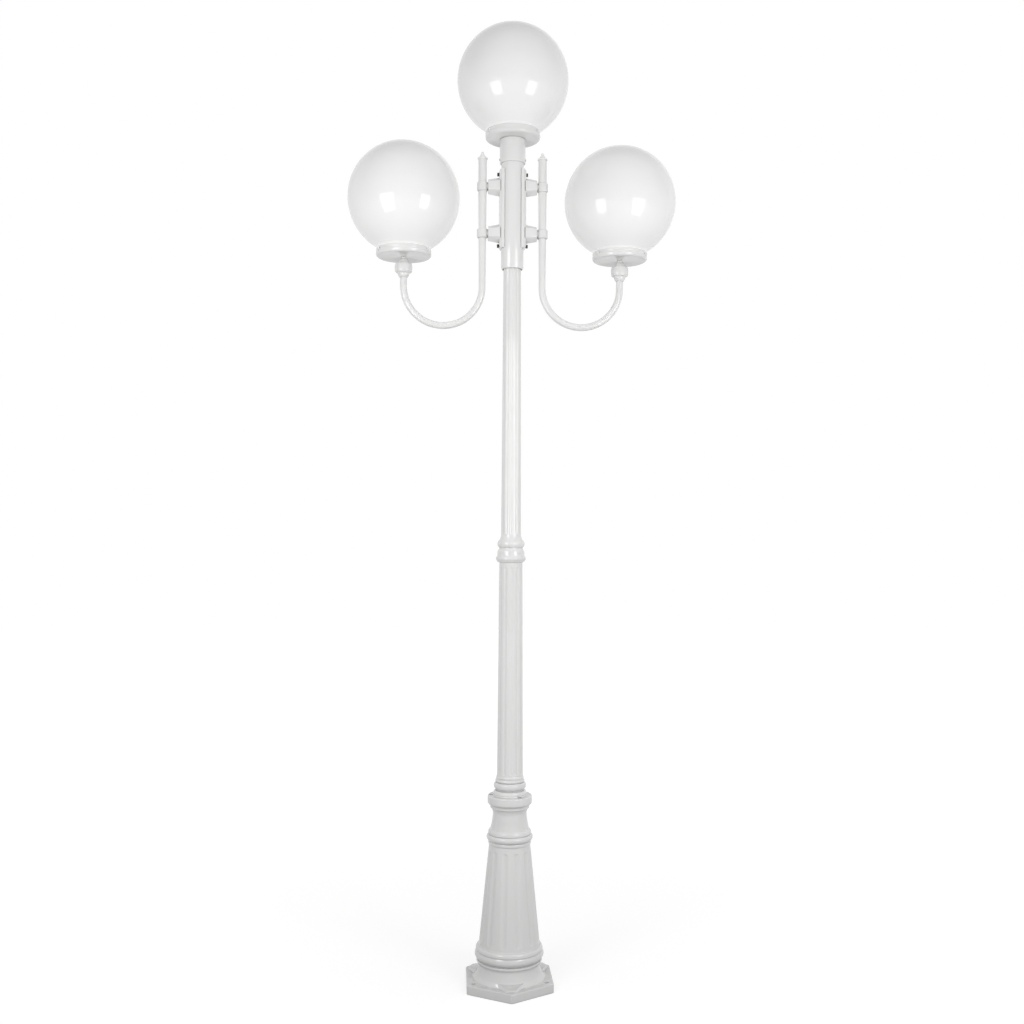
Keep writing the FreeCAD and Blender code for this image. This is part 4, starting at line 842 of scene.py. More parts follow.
def carve(piece: MeshObject, cutter: MeshObject) -> None:
    """Cut one closed mesh out of another and remove the cutter.

    Args:
        piece: What is cut.
        cutter: What is taken away.
    """
    pick_only(piece)
    bpy.ops.object.modifier_add(type="BOOLEAN")
    cut = piece.modifiers[-1]
    cut.operation = "DIFFERENCE"
    cut.solver = "EXACT"
    cut.object = cutter
    bpy.ops.object.modifier_apply(modifier=cut.name)
    bpy.data.objects.remove(cutter)


def drill_ring(piece: MeshObject, radius: float, circle: float, turns: tuple[float, ...],
               heights: tuple[float, float]) -> None:
    """Drill upright holes on a circle round the post.

    Args:
        piece: What is drilled.
        radius: Radius of a hole in millimetres.
        circle: Radius of the circle.
        turns: Azimuth of each hole in degrees.
        heights: Height of the drill's two ends.
    """
    for angle in turns:
        spot = Matrix.Rotation(math.radians(angle), 4, "Z") @ place(circle, 0.0, 0.0)
        low, high = (spot + place(0.0, 0.0, height) for height in heights)
        carve(piece, add_rod("drill", radius, low, high, sides=40))


def socket_screw(radius: float, near: Vector, far: Vector, edge: float, socket: float,
                 sides: int = 24, segments: int = 2) -> MeshObject:
    """Make a round screw or screw head with a six-sided socket in its far end.

    Args:
        radius: Its radius in millimetres.
        near: Middle of its inner end, in metres.
        far: Middle of its outer end, in metres.
        edge: Rounding of its edges.
        socket: Centre to corner of the socket.
        sides: Faces round it.
        segments: Steps of the rounding.

    Returns:
        The screw.
    """
    screw = add_rod("socket_screw_part", radius, near, far, sides=sides)
    round_edges(screw, edge, segments=segments)
    past = far + (far - near).normalized() * MM
    carve(screw, add_rod("socket_cutter", socket, (near + far) / 2.0, past, sides=6))
    return screw


def gather(name: str, parts: list[MeshObject]) -> MeshObject:
    """Join parts into one piece.

    Args:
        name: Name of the piece.
        parts: The parts.

    Returns:
        The piece.
    """
    pick_only(parts[0])
    for part in parts:
        part.select_set(True)
    if len(parts) > 1:
        bpy.ops.object.join()
    return rename(bpy.context.active_object, name)


def twin(piece: MeshObject, name: str, shift: Vector | None = None) -> MeshObject:
    """Copy a piece with its own mesh, moved, or turned half round the post.

    Args:
        piece: The piece.
        name: Name of the copy.
        shift: How far it is moved, in metres; None turns it half round the post instead.

    Returns:
        The copy.
    """
    pick_only(piece)
    bpy.ops.object.duplicate(linked=False)
    copy = open_piece(name)
    if shift is None:
        bpy.ops.transform.resize(value=(-1.0, -1.0, 1.0), center_override=ORIGIN)
    else:
        bpy.ops.transform.translate(value=shift)
    bpy.ops.object.mode_set(mode="OBJECT")
    return copy


def install(piece: MeshObject, finish: Finish, nodes: list[str], body: str = "root") -> None:
    """Dress a finished piece and hand it to the frame.

    Args:
        piece: The piece.
        finish: Its finish.
        nodes: The CAD nodes that it stands for.
        body: The body that it rides on.
    """
    finish.dress(piece)
    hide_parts(*nodes)
    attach(piece, body)
    LOG.info("%s: %d faces, stands for %s", piece.name, len(piece.data.polygons), ", ".join(nodes))


# ---------------------------------------------------------------- fluted shafts

@dataclass(frozen=True)
class Flutes:
    """Round-bottomed flutes with rounded ends down a tapering shaft.

    Attributes:
        foot: Height where they start, in millimetres.
        top: Height where they end.
        low: The shaft's radius at their foot.
        high: The shaft's radius at their top.
        depth: Their depth.
        curve: Radius of their section.
        turned: Azimuth of one flute's middle, in degrees.
        count: How many go round the shaft.
        open_top: Whether they run out under another piece.
        lip: 1 gives crisp edges, more gives softer ones.
    """

    foot: float
    top: float
    low: float
    high: float
    depth: float
    curve: float
    turned: float
    count: int = 12
    open_top: bool = False
    lip: float = 1.0

    columns = (0.0, 0.24, 0.46, 0.66, 0.83, 0.96, 1.12)
    spread = 9

    def half_width(self, radius: float) -> float:
        """Half the width of a flute where the shaft has a radius."""
        return math.sqrt(2.0 * self.depth * self.curve * radius / (self.curve + radius))

    def radius_at(self, height: float) -> float:
        """The shaft's radius at a height."""
        share = (height - self.foot) / (self.top - self.foot)
        return self.low + (self.high - self.low) * share

    def heights(self) -> list[float]:
        """Heights of the rings of vertices that shape the flutes, from the foot up."""
        steps = (0.0, 0.08, 0.2, 0.36, 0.56, 0.78, 1.0)
        low = [self.foot + self.half_width(self.low) * step for step in steps]
        high = [self.top - self.half_width(self.high) * step for step in reversed(steps)]
        if self.open_top:
            high = [self.top]
        middle = [low[-1] + (high[0] - low[-1]) * index / 6.0 for index in range(1, 6)]
        return low + middle + high

    def rings(self) -> list[Corner]:
        """The rings as corners of the shaft's outline."""
        return [(self.radius_at(height), height) for height in self.heights()]

    def depth_at(self, height: float, share: float) -> float:
        """Depth of a flute.

        Args:
            height: Height on the shaft.
            share: Distance from the flute's middle, as a share of its half width.

        Returns:
            The depth in millimetres.
        """
        half = self.half_width(self.radius_at(height))
        from_end = height - self.foot if self.open_top else min(height - self.foot, self.top - height)
        end = max(0.0, 1.0 - from_end / half)
        return self.depth * max(0.0, 1.0 - share ** 2 - end ** 2) ** self.lip

    def shape(self, piece: MeshObject) -> None:
        """Press one flute into the sector of the shaft that is being edited.

        Args:
            piece: A sector centred on +X, in edit mode.
        """
        pitch = math.pi / self.count
        mesh = bmesh.from_edit_mesh(piece.data)
        rings = {round(height, 3): self.radius_at(height) for height in self.heights()}
        spots: dict[tuple[float, int], list[bmesh.types.BMVert]] = {}
        for vertex in mesh.verts:
            height = min(rings, key=lambda level: abs(level - vertex.co.z / MM))
            spread = math.hypot(vertex.co.x, vertex.co.y) / MM
            if abs(height - vertex.co.z / MM) > 0.02 or abs(spread - rings[height]) > 0.05:
                continue
            column = round(abs(math.atan2(vertex.co.y, vertex.co.x)) / pitch * self.spread)
            spots.setdefault((height, column), []).append(vertex)
        for (height, column), pair in spots.items():
            if column < self.spread:
                self.press(piece, pair, height, column)

    def press(self, piece: MeshObject, pair: list[bmesh.types.BMVert], height: float, column: int) -> None:
        """Move one pair of vertices to its place in the flute.

        Args:
            piece: The sector, in edit mode.
            pair: The two vertices, the same way from the flute's middle.
            height: Their height in millimetres.
            column: Their column, counted from the middle.
        """
        pitch = math.pi / self.count
        radius = self.radius_at(height)
        lip = self.columns[-1] * self.half_width(radius) / radius
        last = len(self.columns) - 1
        before = pitch * column / self.spread
        if column <= last:
            share = self.columns[column]
            after = share * self.half_width(radius) / radius
            inner = radius - self.depth_at(height, share)
        else:
            after = lip + (pitch - lip) * (column - last) / (self.spread - last)
            inner = radius
        across = inner * math.cos(after) / (radius * math.cos(before))
        aside = inner * math.sin(after) / (radius * math.sin(before)) if column else 1.0
        bpy.ops.mesh.select_all(action="DESELECT")
        for vertex in pair:
            vertex.select_set(True)
        bmesh.update_edit_mesh(piece.data)
        bpy.ops.transform.resize(value=(across, aside, 1.0), center_override=ORIGIN)

    def turn(self, name: str, outline: Outline) -> MeshObject:
        """Make a fluted shaft: one sector is turned and fluted, then copied round.

        Args:
            name: Name of the piece.
            outline: The shaft's half section, with these rings in it.

        Returns:
            The finished piece.
        """
        sector = 360.0 / self.count
        edge = Matrix.Rotation(math.radians(sector / 2.0), 4, "Z")
        piece = draw_chain(name, [edge @ place(point.x, 0.0, point.y) for point in outline.points()])
        spin_all(2 * self.spread, sector)
        bpy.ops.mesh.remove_doubles(threshold=DOUBLES)
        self.shape(piece)
        spin_all(self.count - 1, 360.0 - sector, copies=True)
        if self.turned:
            bpy.ops.transform.rotate(value=math.radians(self.turned), orient_axis="Z",
                                     center_override=ORIGIN)
        return close_piece()


# ---------------------------------------------------------------- column base

@dataclass
class ColumnBase:
    """Hexagonal foot with three corner webs, under a beaded and fluted column with a flange."""

    foot_height: float = 20.0
    foot_reach: float = 111.0
    corner_cut: float = 4.62
    edge_round: float = 2.5
    plate_hole: float = 76.0
    anchor_circle: float = 93.5
    anchor_hole: float = 5.2
    anchor_turns: tuple[float, ...] = (90.0, 210.0, 330.0)
    web_root: float = 58.0
    web_tip: float = 99.0
    web_widths: tuple[float, float, float, float] = (40.0, 37.0, 11.5, 9.4)
    web_heights: Triple = (18.0, 30.0, 24.8)
    web_round: float = 0.9
    skirt_head: float = 72.4
    skirt_top: float = 55.0
    taper_foot: float = 68.0
    taper_start: float = 97.5
    taper_head: float = 46.4
    taper_end: float = 316.0
    flange_circle: float = 41.0
    flange_hole: float = 6.0
    flange_turns: tuple[float, ...] = (180.0, 60.0, -60.0)
    flange_foot: float = 405.0
    flange_top: float = 426.0
    boss_top: float = 437.0
    finish: Finish = WHITE_COAT
    flutes: Flutes = Flutes(
        foot=99.0, top=306.0, low=67.85, high=47.39, depth=2.0, curve=19.0, turned=15.0, lip=1.7)

    def outline(self) -> Outline:
        """Half section of the column, outside and in."""
        outside = [
            (70.0, 0.3), (77.0, 0.3), (77.0, 17.0), (80.0, 17.0), (83.5, 20.0),
            (79.3, 22.6, cove(5.0)), (71.8, 36.6, cove(30.0)), (70.4, 49.0, cove(60.0)),
            (self.skirt_head, self.skirt_top, cove(9.0)), (self.skirt_head, 60.6, bead(3.6)),
            (70.8, 61.0), (70.6, 62.4), (71.4, 62.8), (73.6, 80.9, bead(11.0)), (73.9, 81.6),
            (75.2, 82.4), (68.4, 92.7, bead(9.5)), (67.95, 94.0), (self.taper_foot, self.taper_start),
        ]
        outside += self.flutes.rings()
        outside += [
            (self.taper_head, self.taper_end), (self.taper_head, 325.0, bead(6.4)),
            (48.3, 325.8), (48.3, 339.0, bead(7.8)), (47.1, 339.5), (48.3, 340.2),
            (43.9, 350.5, bead(9.3)), (37.8, 385.0, cove(170.0)), (41.4, 397.0, cove(25.0)),
            (44.0, 398.0), (44.0, 404.0), (44.0, self.flange_foot), (50.0, 411.0, bead(6.0)),
            (50.0, 422.0), (46.0, self.flange_top, bead(4.0)), (38.4, self.flange_top),
            (37.4, 428.0), (32.0, self.boss_top, bead(7.0)), (16.0, self.boss_top),
        ]
        inside = [
            (16.0, 412.0), (32.0, 412.0), (32.0, 385.0), (39.5, self.taper_end),
            (60.5, self.taper_start), (66.0, self.skirt_top),
        ]
        return Outline(outside + inside, soften=0.6)

    def build_column(self) -> MeshObject:
        """Turn and flute the column, then drill its flange."""
        column = self.flutes.turn("column_part", self.outline())
        ends = (self.flange_foot + 0.4, self.flange_top + 1.0)
        drill_ring(column, self.flange_hole, self.flange_circle, self.flange_turns, ends)
        return column

    def build_foot(self) -> MeshObject:
        """Shape the hexagonal plate and drill it."""
        level = self.foot_height / 2.0 * MM
        plate = start_piece(
            "foot_part", bpy.ops.mesh.primitive_cylinder_add, vertices=6, radius=self.foot_reach * MM,
            depth=2.0 * level, location=(0.0, 0.0, level))

        def upright(edge: bmesh.types.BMEdge) -> bool:
            """Whether an edge is one of the six upright ones."""
            return abs(edge.verts[0].co.z - edge.verts[1].co.z) > level

        def on_top(edge: bmesh.types.BMEdge) -> bool:
            """Whether an edge is on the plate's top."""
            return min(vertex.co.z for vertex in edge.verts) > 0.9 * level

        bevel_edges(plate, upright, self.corner_cut, 10)
        bevel_edges(plate, on_top, self.edge_round, 4)
        close_piece()
        ends = (-1.0, self.foot_height + 1.0)
        low, high = (place(0.0, 0.0, height) for height in ends)
        carve(plate, add_rod("hollow_cutter", self.plate_hole, low, high, sides=96))
        drill_ring(plate, self.anchor_hole, self.anchor_circle, self.anchor_turns, ends)
        round_edges(plate, 0.5, sharper=50.0, segments=2)
        return plate

    def build_webs(self) -> MeshObject:
        """Shape one corner web from a block and copy it to the other two corners."""
        root_foot, root_crest, tip_foot, tip_crest = self.web_widths
        sunk, root_top, tip_top = self.web_heights
        middle = (self.web_root + self.web_tip) / 2.0
        centre = place(0.0, -middle, sunk)
        web = start_piece("web_part", bpy.ops.mesh.primitive_cube_add, size=2.0 * MM, location=centre)
        ends = (
            (1.0, self.web_root, root_foot, root_crest, root_top),
            (-1.0, self.web_tip, tip_foot, tip_crest, tip_top),
        )
        for near, reach, foot, crest, top in ends:
            for wide, level, high in ((foot, -1.0, 0.0), (crest, 1.0, top - sunk)):

                def wanted(vertex: bmesh.types.BMVert) -> bool:
                    """Whether a vertex is on this end and level of the block."""
                    return vertex.co.y * near > 0 and abs(vertex.co.z - level * MM) < 0.2 * MM

                pick_parts(web, wanted)
                bpy.ops.transform.resize(value=(wide, 1.0, 1.0), center_override=centre)
                bpy.ops.transform.translate(value=place(0.0, middle - reach - near, high - level))
        bevel_edges(web, lambda edge: max(v.co.z for v in edge.verts) > 2.0 * MM, self.web_round, 3)
        spin_all(2, 240.0, copies=True)
        return close_piece()

    def build(self) -> MeshObject:
        """Build the whole base."""
        return gather("column_base", [self.build_column(), self.build_foot(), self.build_webs()])

    def dress(self, piece: MeshObject) -> None:
        """Coat the base and hand it over."""
        install(piece, self.finish, ["base_casting"])


# ---------------------------------------------------------------- poles

@dataclass
class FlutedPole:
    """What the two poles share: they are turned and fluted in one piece, and coated."""

    flutes: Flutes
    piece_name: str
    node: str
    finish: Finish = WHITE_COAT

    def outline(self) -> Outline:
        """Half section of the pole; each pole draws its own."""
        raise NotImplementedError

    def build(self) -> MeshObject:
        """Turn and flute the pole."""
        return self.flutes.turn(self.piece_name, self.outline())

    def dress(self, piece: MeshObject) -> None:
        """Coat the pole and hand it over."""
        install(piece, self.finish, [self.node])


@dataclass
class LowerPole(FlutedPole):
    """Lower fluted pole with foot beads and a top collar."""

    flutes: Flutes = Flutes(foot=473.0, top=937.0, low=29.18, high=26.26, depth=1.2, curve=9.0, turned=0.0)
    piece_name: str = "lower_fluted_pole"
    node: str = "lower_pole"
    foot: float = 437.0
    top: float = 980.0
    shaft_foot: float = 470.0
    collar_foot: float = 947.0
    bore: float = 22.0

    def outline(self) -> Outline:
        """Half section of the pole, outside and in."""
        outside = [
            (16.0, self.foot), (31.3, self.foot), (31.3, 439.4), (33.2, 440.5), (33.2, 454.6, bead(9.2)),
            (31.2, 455.3), (31.2, 461.6, bead(3.6)), (30.3, 462.2), (30.3, 463.6), (30.9, 464.4),
            (30.6, 467.6, bead(3.0)), (29.2, self.shaft_foot, cove(4.0)),
        ]
        outside += self.flutes.rings()
        outside += [
            (26.2, self.collar_foot), (30.2, 948.4), (31.0, 950.5), (31.0, 961.5, bead(7.0)),
            (30.4, 963.0), (30.4, 969.5), (26.4, 978.0, bead(12.0)), (26.4, self.top),
        ]
        inside = [
            (14.0, self.top), (14.0, 950.0), (self.bore, 942.0), (self.bore, 476.0), (16.0, 468.0),
        ]
        return Outline(outside + inside, soften=0.5)


@dataclass
class UpperPole(FlutedPole):
    """Upper fluted pole; its top stands inside the head tube."""

    flutes: Flutes = Flutes(foot=1010.0, top=1640.0, low=22.29, high=19.67, depth=1.0, curve=6.3,
                            turned=0.0, open_top=True)
    piece_name: str = "upper_fluted_pole"
    node: str = "upper_pole"
    foot: float = 980.0
    shaft_start: float = 1008.0
    top: float = 1700.0
    bore: float = 15.5

    def outline(self) -> Outline:
        """Half section of the pole, outside and in."""
        outside = [
            (14.0, self.foot), (26.4, self.foot), (26.4, 980.8), (28.0, 981.6), (28.0, 995.5, bead(10.4)),
            (23.2, 1005.0, cove(16.0)), (22.3, self.shaft_start),
        ]
        outside += self.flutes.rings()
        outside += [(19.67, 1642.0), (19.67, self.top)]
        inside = [(self.bore, self.top), (self.bore, 1012.0), (14.0, self.shaft_start)]
        return Outline(outside + inside, soften=0.5)


# ---------------------------------------------------------------- head tube and cap

@dataclass
class PostTop:
    """Head tube with its chamfered lip, the cap over it and the cap's two set screws."""

    tube_radius: float = 25.2
    tube_bore: float = 21.5
    tube_foot: float = 1605.0
    tube_top: float = 1888.0
    cap_radius: float = 28.9
    cap_bore: float = 25.3
    cap_foot: float = 1842.0
    cap_top: float = 1896.0
    cap_edge: float = 1.2
    nipple_radius: float = 5.0
    screw_radius: float = 2.5
    screw_height: float = 1851.0
    screw_end: float = 29.7
    screw_socket: float = 1.4

    def build_tube(self) -> MeshObject:
        """Turn the head tube."""
        corners = [
            (self.tube_bore, self.tube_foot), (23.6, self.tube_foot), (self.tube_radius, 1610.0),
            (self.tube_radius, self.tube_top), (self.tube_bore, self.tube_top),
        ]
        return turn("head_tube_shell", Outline(corners, soften=0.5), steps=72)

    def build_cap(self) -> MeshObject:
        """Turn the cap."""
        corners = [
            (self.cap_bore, self.cap_foot), (self.cap_radius - self.cap_edge, self.cap_foot),
            (self.cap_radius, self.cap_foot + self.cap_edge), (self.cap_radius, self.cap_top - self.cap_edge),
            (self.cap_radius - self.cap_edge, self.cap_top), (self.nipple_radius, self.cap_top),
            (self.nipple_radius, self.tube_top), (self.cap_bore, self.tube_top),
        ]
        return turn("post_top_cap", Outline(corners, soften=0.4), steps=72)

    def build_screws(self) -> MeshObject:
        """Make a set screw with a six-sided socket on each side of the cap."""
        screws = []
        for side in Side:
            near = place(side.value * self.tube_radius, 0.0, self.screw_height)
            far = place(side.value * self.screw_end, 0.0, self.screw_height)
            screws.append(socket_screw(self.screw_radius, near, far, 0.4, self.screw_socket))
        return gather("cap_set_screws", screws)

    def build(self) -> list[MeshObject]:
        """Build the three pieces of the post's top."""
        return [self.build_tube(), self.build_cap(), self.build_screws()]

    def dress(self, pieces: list[MeshObject]) -> None:
        """Finish the pieces and hand them over."""
        tube, cap, screws = pieces
        install(tube, TUBE_COAT, ["head_tube"])
        install(cap, HEAD_COAT, ["post_top_sleeve"])
        install(screws, DARK_STEEL, ["sleeve_screws"])


# ---------------------------------------------------------------- arms

@dataclass
class SideArm:
    """Bracket, bolts, J-shaped tube and finial of one arm; the right one is modelled."""

    saddle_face: float = 30.0
    saddle_wing: float = 18.5
    saddle_half_width: float = 19.5
    saddle_corner: float = 6.0
    saddle_bevel: float = 4.0
    saddle_seat: float = 25.25
    saddle_foot: float = 1651.0
    saddle_top: float = 1828.0
    boss_heights: tuple[float, float] = (1790.0, 1685.0)
    ring_bores: tuple[float, float] = (9.45, 8.75)
    boss_root: float = 21.8
    boss_tip: float = 17.0
    boss_end: float = 55.0
    neck_radius: float = 8.5
    ring_radius: float = 12.2
    ring_height: float = 20.0
    ring_edge: float = 1.5
    bolt_heights: tuple[float, float] = (1818.0, 1657.5)
    bolt_head: float = 4.1
    bolt_head_height: float = 4.6
    bolt_shank: float = 3.0
    bolt_tip: float = 19.9
    bolt_socket: float = 2.4
    ring_screw: float = 2.5
    ring_screw_socket: float = 1.4
    leg: float = 67.5
    bend: float = 87.85
    bend_height: float = 1565.0
    riser_top: float = 1603.0
    thin: float = 7.7
    thick: float = 9.4
    wall: float = 1.5
    taper_foot: float = 1590.0
    taper_top: float = 1780.0
    top: float = 1852.0

    def build_saddle(self) -> MeshObject:
        """Shape the saddle from a block, hollowed to sit on the head tube."""
        middle = (self.saddle_face + self.saddle_wing) / 2.0
        height = (self.saddle_foot + self.saddle_top) / 2.0
        size = place(self.saddle_face - self.saddle_wing, 2.0 * self.saddle_half_width,
                     self.saddle_top - self.saddle_foot)
        saddle = start_piece("saddle_part", bpy.ops.mesh.primitive_cube_add, size=1.0, location=ORIGIN)
        bpy.ops.transform.resize(value=size, center_override=ORIGIN)
        bpy.ops.transform.translate(value=place(middle, 0.0, height))
        face = (self.saddle_face - 0.1) * MM

        def long_edge(edge: bmesh.types.BMEdge) -> bool:
            """Whether an edge is a long one of the outer face."""
            one, other = edge.verts
            return min(one.co.x, other.co.x) > face and abs(one.co.z - other.co.z) > 0.05

        def end_edge(edge: bmesh.types.BMEdge) -> bool:
            """Whether an edge is a short one of the outer face."""
            one, other = edge.verts
            level = abs(one.co.z - other.co.z) < 0.1 * MM
            return min(one.co.x, other.co.x) > face and level

        bevel_edges(saddle, long_edge, self.saddle_corner, 1)
        bevel_edges(saddle, end_edge, self.saddle_bevel, 1)
        close_piece()
        round_edges(saddle, 0.8, sharper=20.0)
        low = place(0.0, 0.0, self.saddle_foot - 1.0)
        high = place(0.0, 0.0, self.saddle_top + 1.0)
        carve(saddle, add_rod("seat_cutter", self.saddle_seat, low, high, sides=96))
        return saddle

    def build_boss(self, height: float, bore: float) -> list[MeshObject]:
        """Make one six-sided boss with its neck and ring.

        Args:
            height: Height of its middle.
            bore: Bore radius of its ring.

        Returns:
            Its three parts.
        """
        boss = add_rod("boss_part", self.boss_root, place(self.saddle_face - 2.0, 0.0, height),
                       place(self.boss_end, 0.0, height), sides=6, tip=self.boss_tip)
        round_edges(boss, 1.4)
        neck = add_rod("neck_part", self.neck_radius, place(self.boss_end - 2.0, 0.0, height),
                       place(self.leg - 2.0, 0.0, height), sides=40)
        half = self.ring_height / 2.0
        low = place(self.leg, 0.0, height - half - 1.0)
        high = place(self.leg, 0.0, height + half + 1.0)
        carve(neck, add_rod("ring_bore_cutter", bore + 0.3, low, high, sides=48))
        edge = self.ring_edge
        corners = [
            (bore, -half), (self.ring_radius - edge, -half), (self.ring_radius, edge - half),
            (self.ring_radius, half - edge), (self.ring_radius - edge, half), (bore, half),
        ]
        ring = turn("ring_part", Outline(corners, soften=0.6), self.leg, height, steps=48)
        return [boss, neck, ring]

    def build_bracket(self) -> MeshObject:
        """Build the right-hand bracket."""
        parts = [self.build_saddle()]
        for height, bore in zip(self.boss_heights, self.ring_bores):
            parts += self.build_boss(height, bore)
        return gather("arm_clamp_right", parts)

    def build_bolts(self) -> MeshObject:
        """Build the right-hand bracket's socket-head bolts."""
        bolts = []
        for height in self.bolt_heights:
            seat = place(self.saddle_face, 0.0, height)
            end = place(self.saddle_face + self.bolt_head_height, 0.0, height)
            cap = socket_screw(self.bolt_head, seat, end, 0.7, self.bolt_socket, sides=32, segments=3)
            shank = add_rod("bolt_shank_part", self.bolt_shank, place(self.bolt_tip, 0.0, height),
                            seat + place(0.5, 0.0, 0.0), sides=24)
            bolts += [cap, shank]
        return gather("clamp_bolts_right", bolts)

    def build_ring_screws(self) -> MeshObject:
        """Build the set screws at the back of the right-hand rings."""
        screws = []
        for height, bore in zip(self.boss_heights, self.ring_bores):
            near = place(self.leg, bore, height)
            far = place(self.leg, self.ring_radius + 0.4, height)
            screws.append(socket_screw(self.ring_screw, near, far, 0.3, self.ring_screw_socket))
        return gather("ring_set_screws_right", screws)

    def build_tube(self) -> MeshObject:
        """Draw the arm's tube: down the upright, round the half turn and up the riser."""
        start_piece("swan_arm_right", bpy.ops.mesh.primitive_circle_add, vertices=48,
                    radius=self.thick * MM, location=place(self.leg, 0.0, self.top))
        runs = ((self.taper_top, self.thick), (self.taper_foot, self.thin), (self.bend_height, self.thin))
        height, radius = self.top, self.thick
        for level, wide in runs:
            drop = {"value": place(0.0, 0.0, level - height)}
            bpy.ops.mesh.extrude_edges_move(TRANSFORM_OT_translate=drop)
            change = wide / radius
            bpy.ops.transform.resize(value=(change, change, 1.0), center_override=place(self.leg, 0.0, level))
            height, radius = level, wide
        centre = place(self.leg + self.bend, 0.0, self.bend_height)
        bpy.ops.mesh.spin(steps=72, angle=math.pi, center=centre, axis=(0.0, 1.0, 0.0))
        rise = {"value": place(0.0, 0.0, self.riser_top - self.bend_height)}
        bpy.ops.mesh.extrude_edges_move(TRANSFORM_OT_translate=rise)
        arm = close_piece()
        bpy.ops.object.modifier_add(type="SOLIDIFY")
        arm.modifiers[-1].thickness = self.wall * MM
        arm.modifiers[-1].offset = -1.0
        bpy.ops.object.modifier_apply(modifier=arm.modifiers[-1].name)
        bpy.ops.object.shade_smooth_by_angle(angle=SMOOTH)
        return arm

    def build_finial(self) -> MeshObject:
        """Turn the finial."""
        corners = [
            (0.0, -8.0), (7.8, -8.0), (7.8, 0.0), (11.5, 0.0), (11.5, 2.0), (6.6, 5.6, bead(9.0)),
            (5.9, 6.4), (2.8, 10.34, bead(3.4)), (3.6, 12.6, bead(3.6)), (0.0, 16.2, bead(3.6)),
        ]
        outline = Outline(corners, closed=False, soften=0.5, step=10.0)
        return turn("arm_finial_right", outline, self.leg, self.top, steps=48)

    def build(self) -> list[MeshObject]:
        """Build the right arm's pieces."""
        return [self.build_bracket(), self.build_bolts(), self.build_tube(), self.build_finial()]

    def dress(self, pieces: list[MeshObject]) -> None:
        """Copy the pieces to the left arm, finish them all and hand them over."""
        finishes = (WHITE_COAT, DARK_STEEL, TUBE_COAT, FINIAL_LIT_COAT)
        nodes = ("arm_bracket", "bracket_bolts", "arm", "finial")
        for piece, finish, node in zip(pieces, finishes, nodes):
            left = twin(piece, piece.name.replace("right", "left"))
            install(piece, finish, [f"{node}_right"])
            install(left, finish, [f"{node}_left"])
        screws = self.build_ring_screws()
        left = twin(screws, "ring_set_screws_left", place(-2.0 * self.leg, 0.0, 0.0))
        install(screws, DARK_STEEL, ["ring_screws_right"])
        install(left, DARK_STEEL, ["ring_screws_left"])


# ---------------------------------------------------------------- heads

@dataclass(frozen=True)
class HeadPiece:
    """A piece that is modelled at one head and copied to others.

    Attributes:
        piece: The piece; its name ends in its head's label.
        home: The head it is modelled at.
        node: Name of the CAD node it stands for, without the head.
        finish: Its finish.
        body: First word of the body it rides on.
    """

    piece: MeshObject
    home: Head
    node: str
    finish: Finish
    body: str = "root"

    def install_at(self, head: Head) -> None:
        """Finish and hand over the piece itself at its home, and a copy at another head.

        Args:
            head: The head.
        """
        piece = self.piece
        if head is not self.home:
            shift = place(head.across - self.home.across, 0.0, head.up - self.home.up)
            piece = twin(piece, piece.name.replace(self.home.label, head.label), shift)
        body = self.body if self.body == "root" else f"{self.body}_{head.label}"
        install(piece, self.finish, [f"{self.node}_{head.label}"], body)


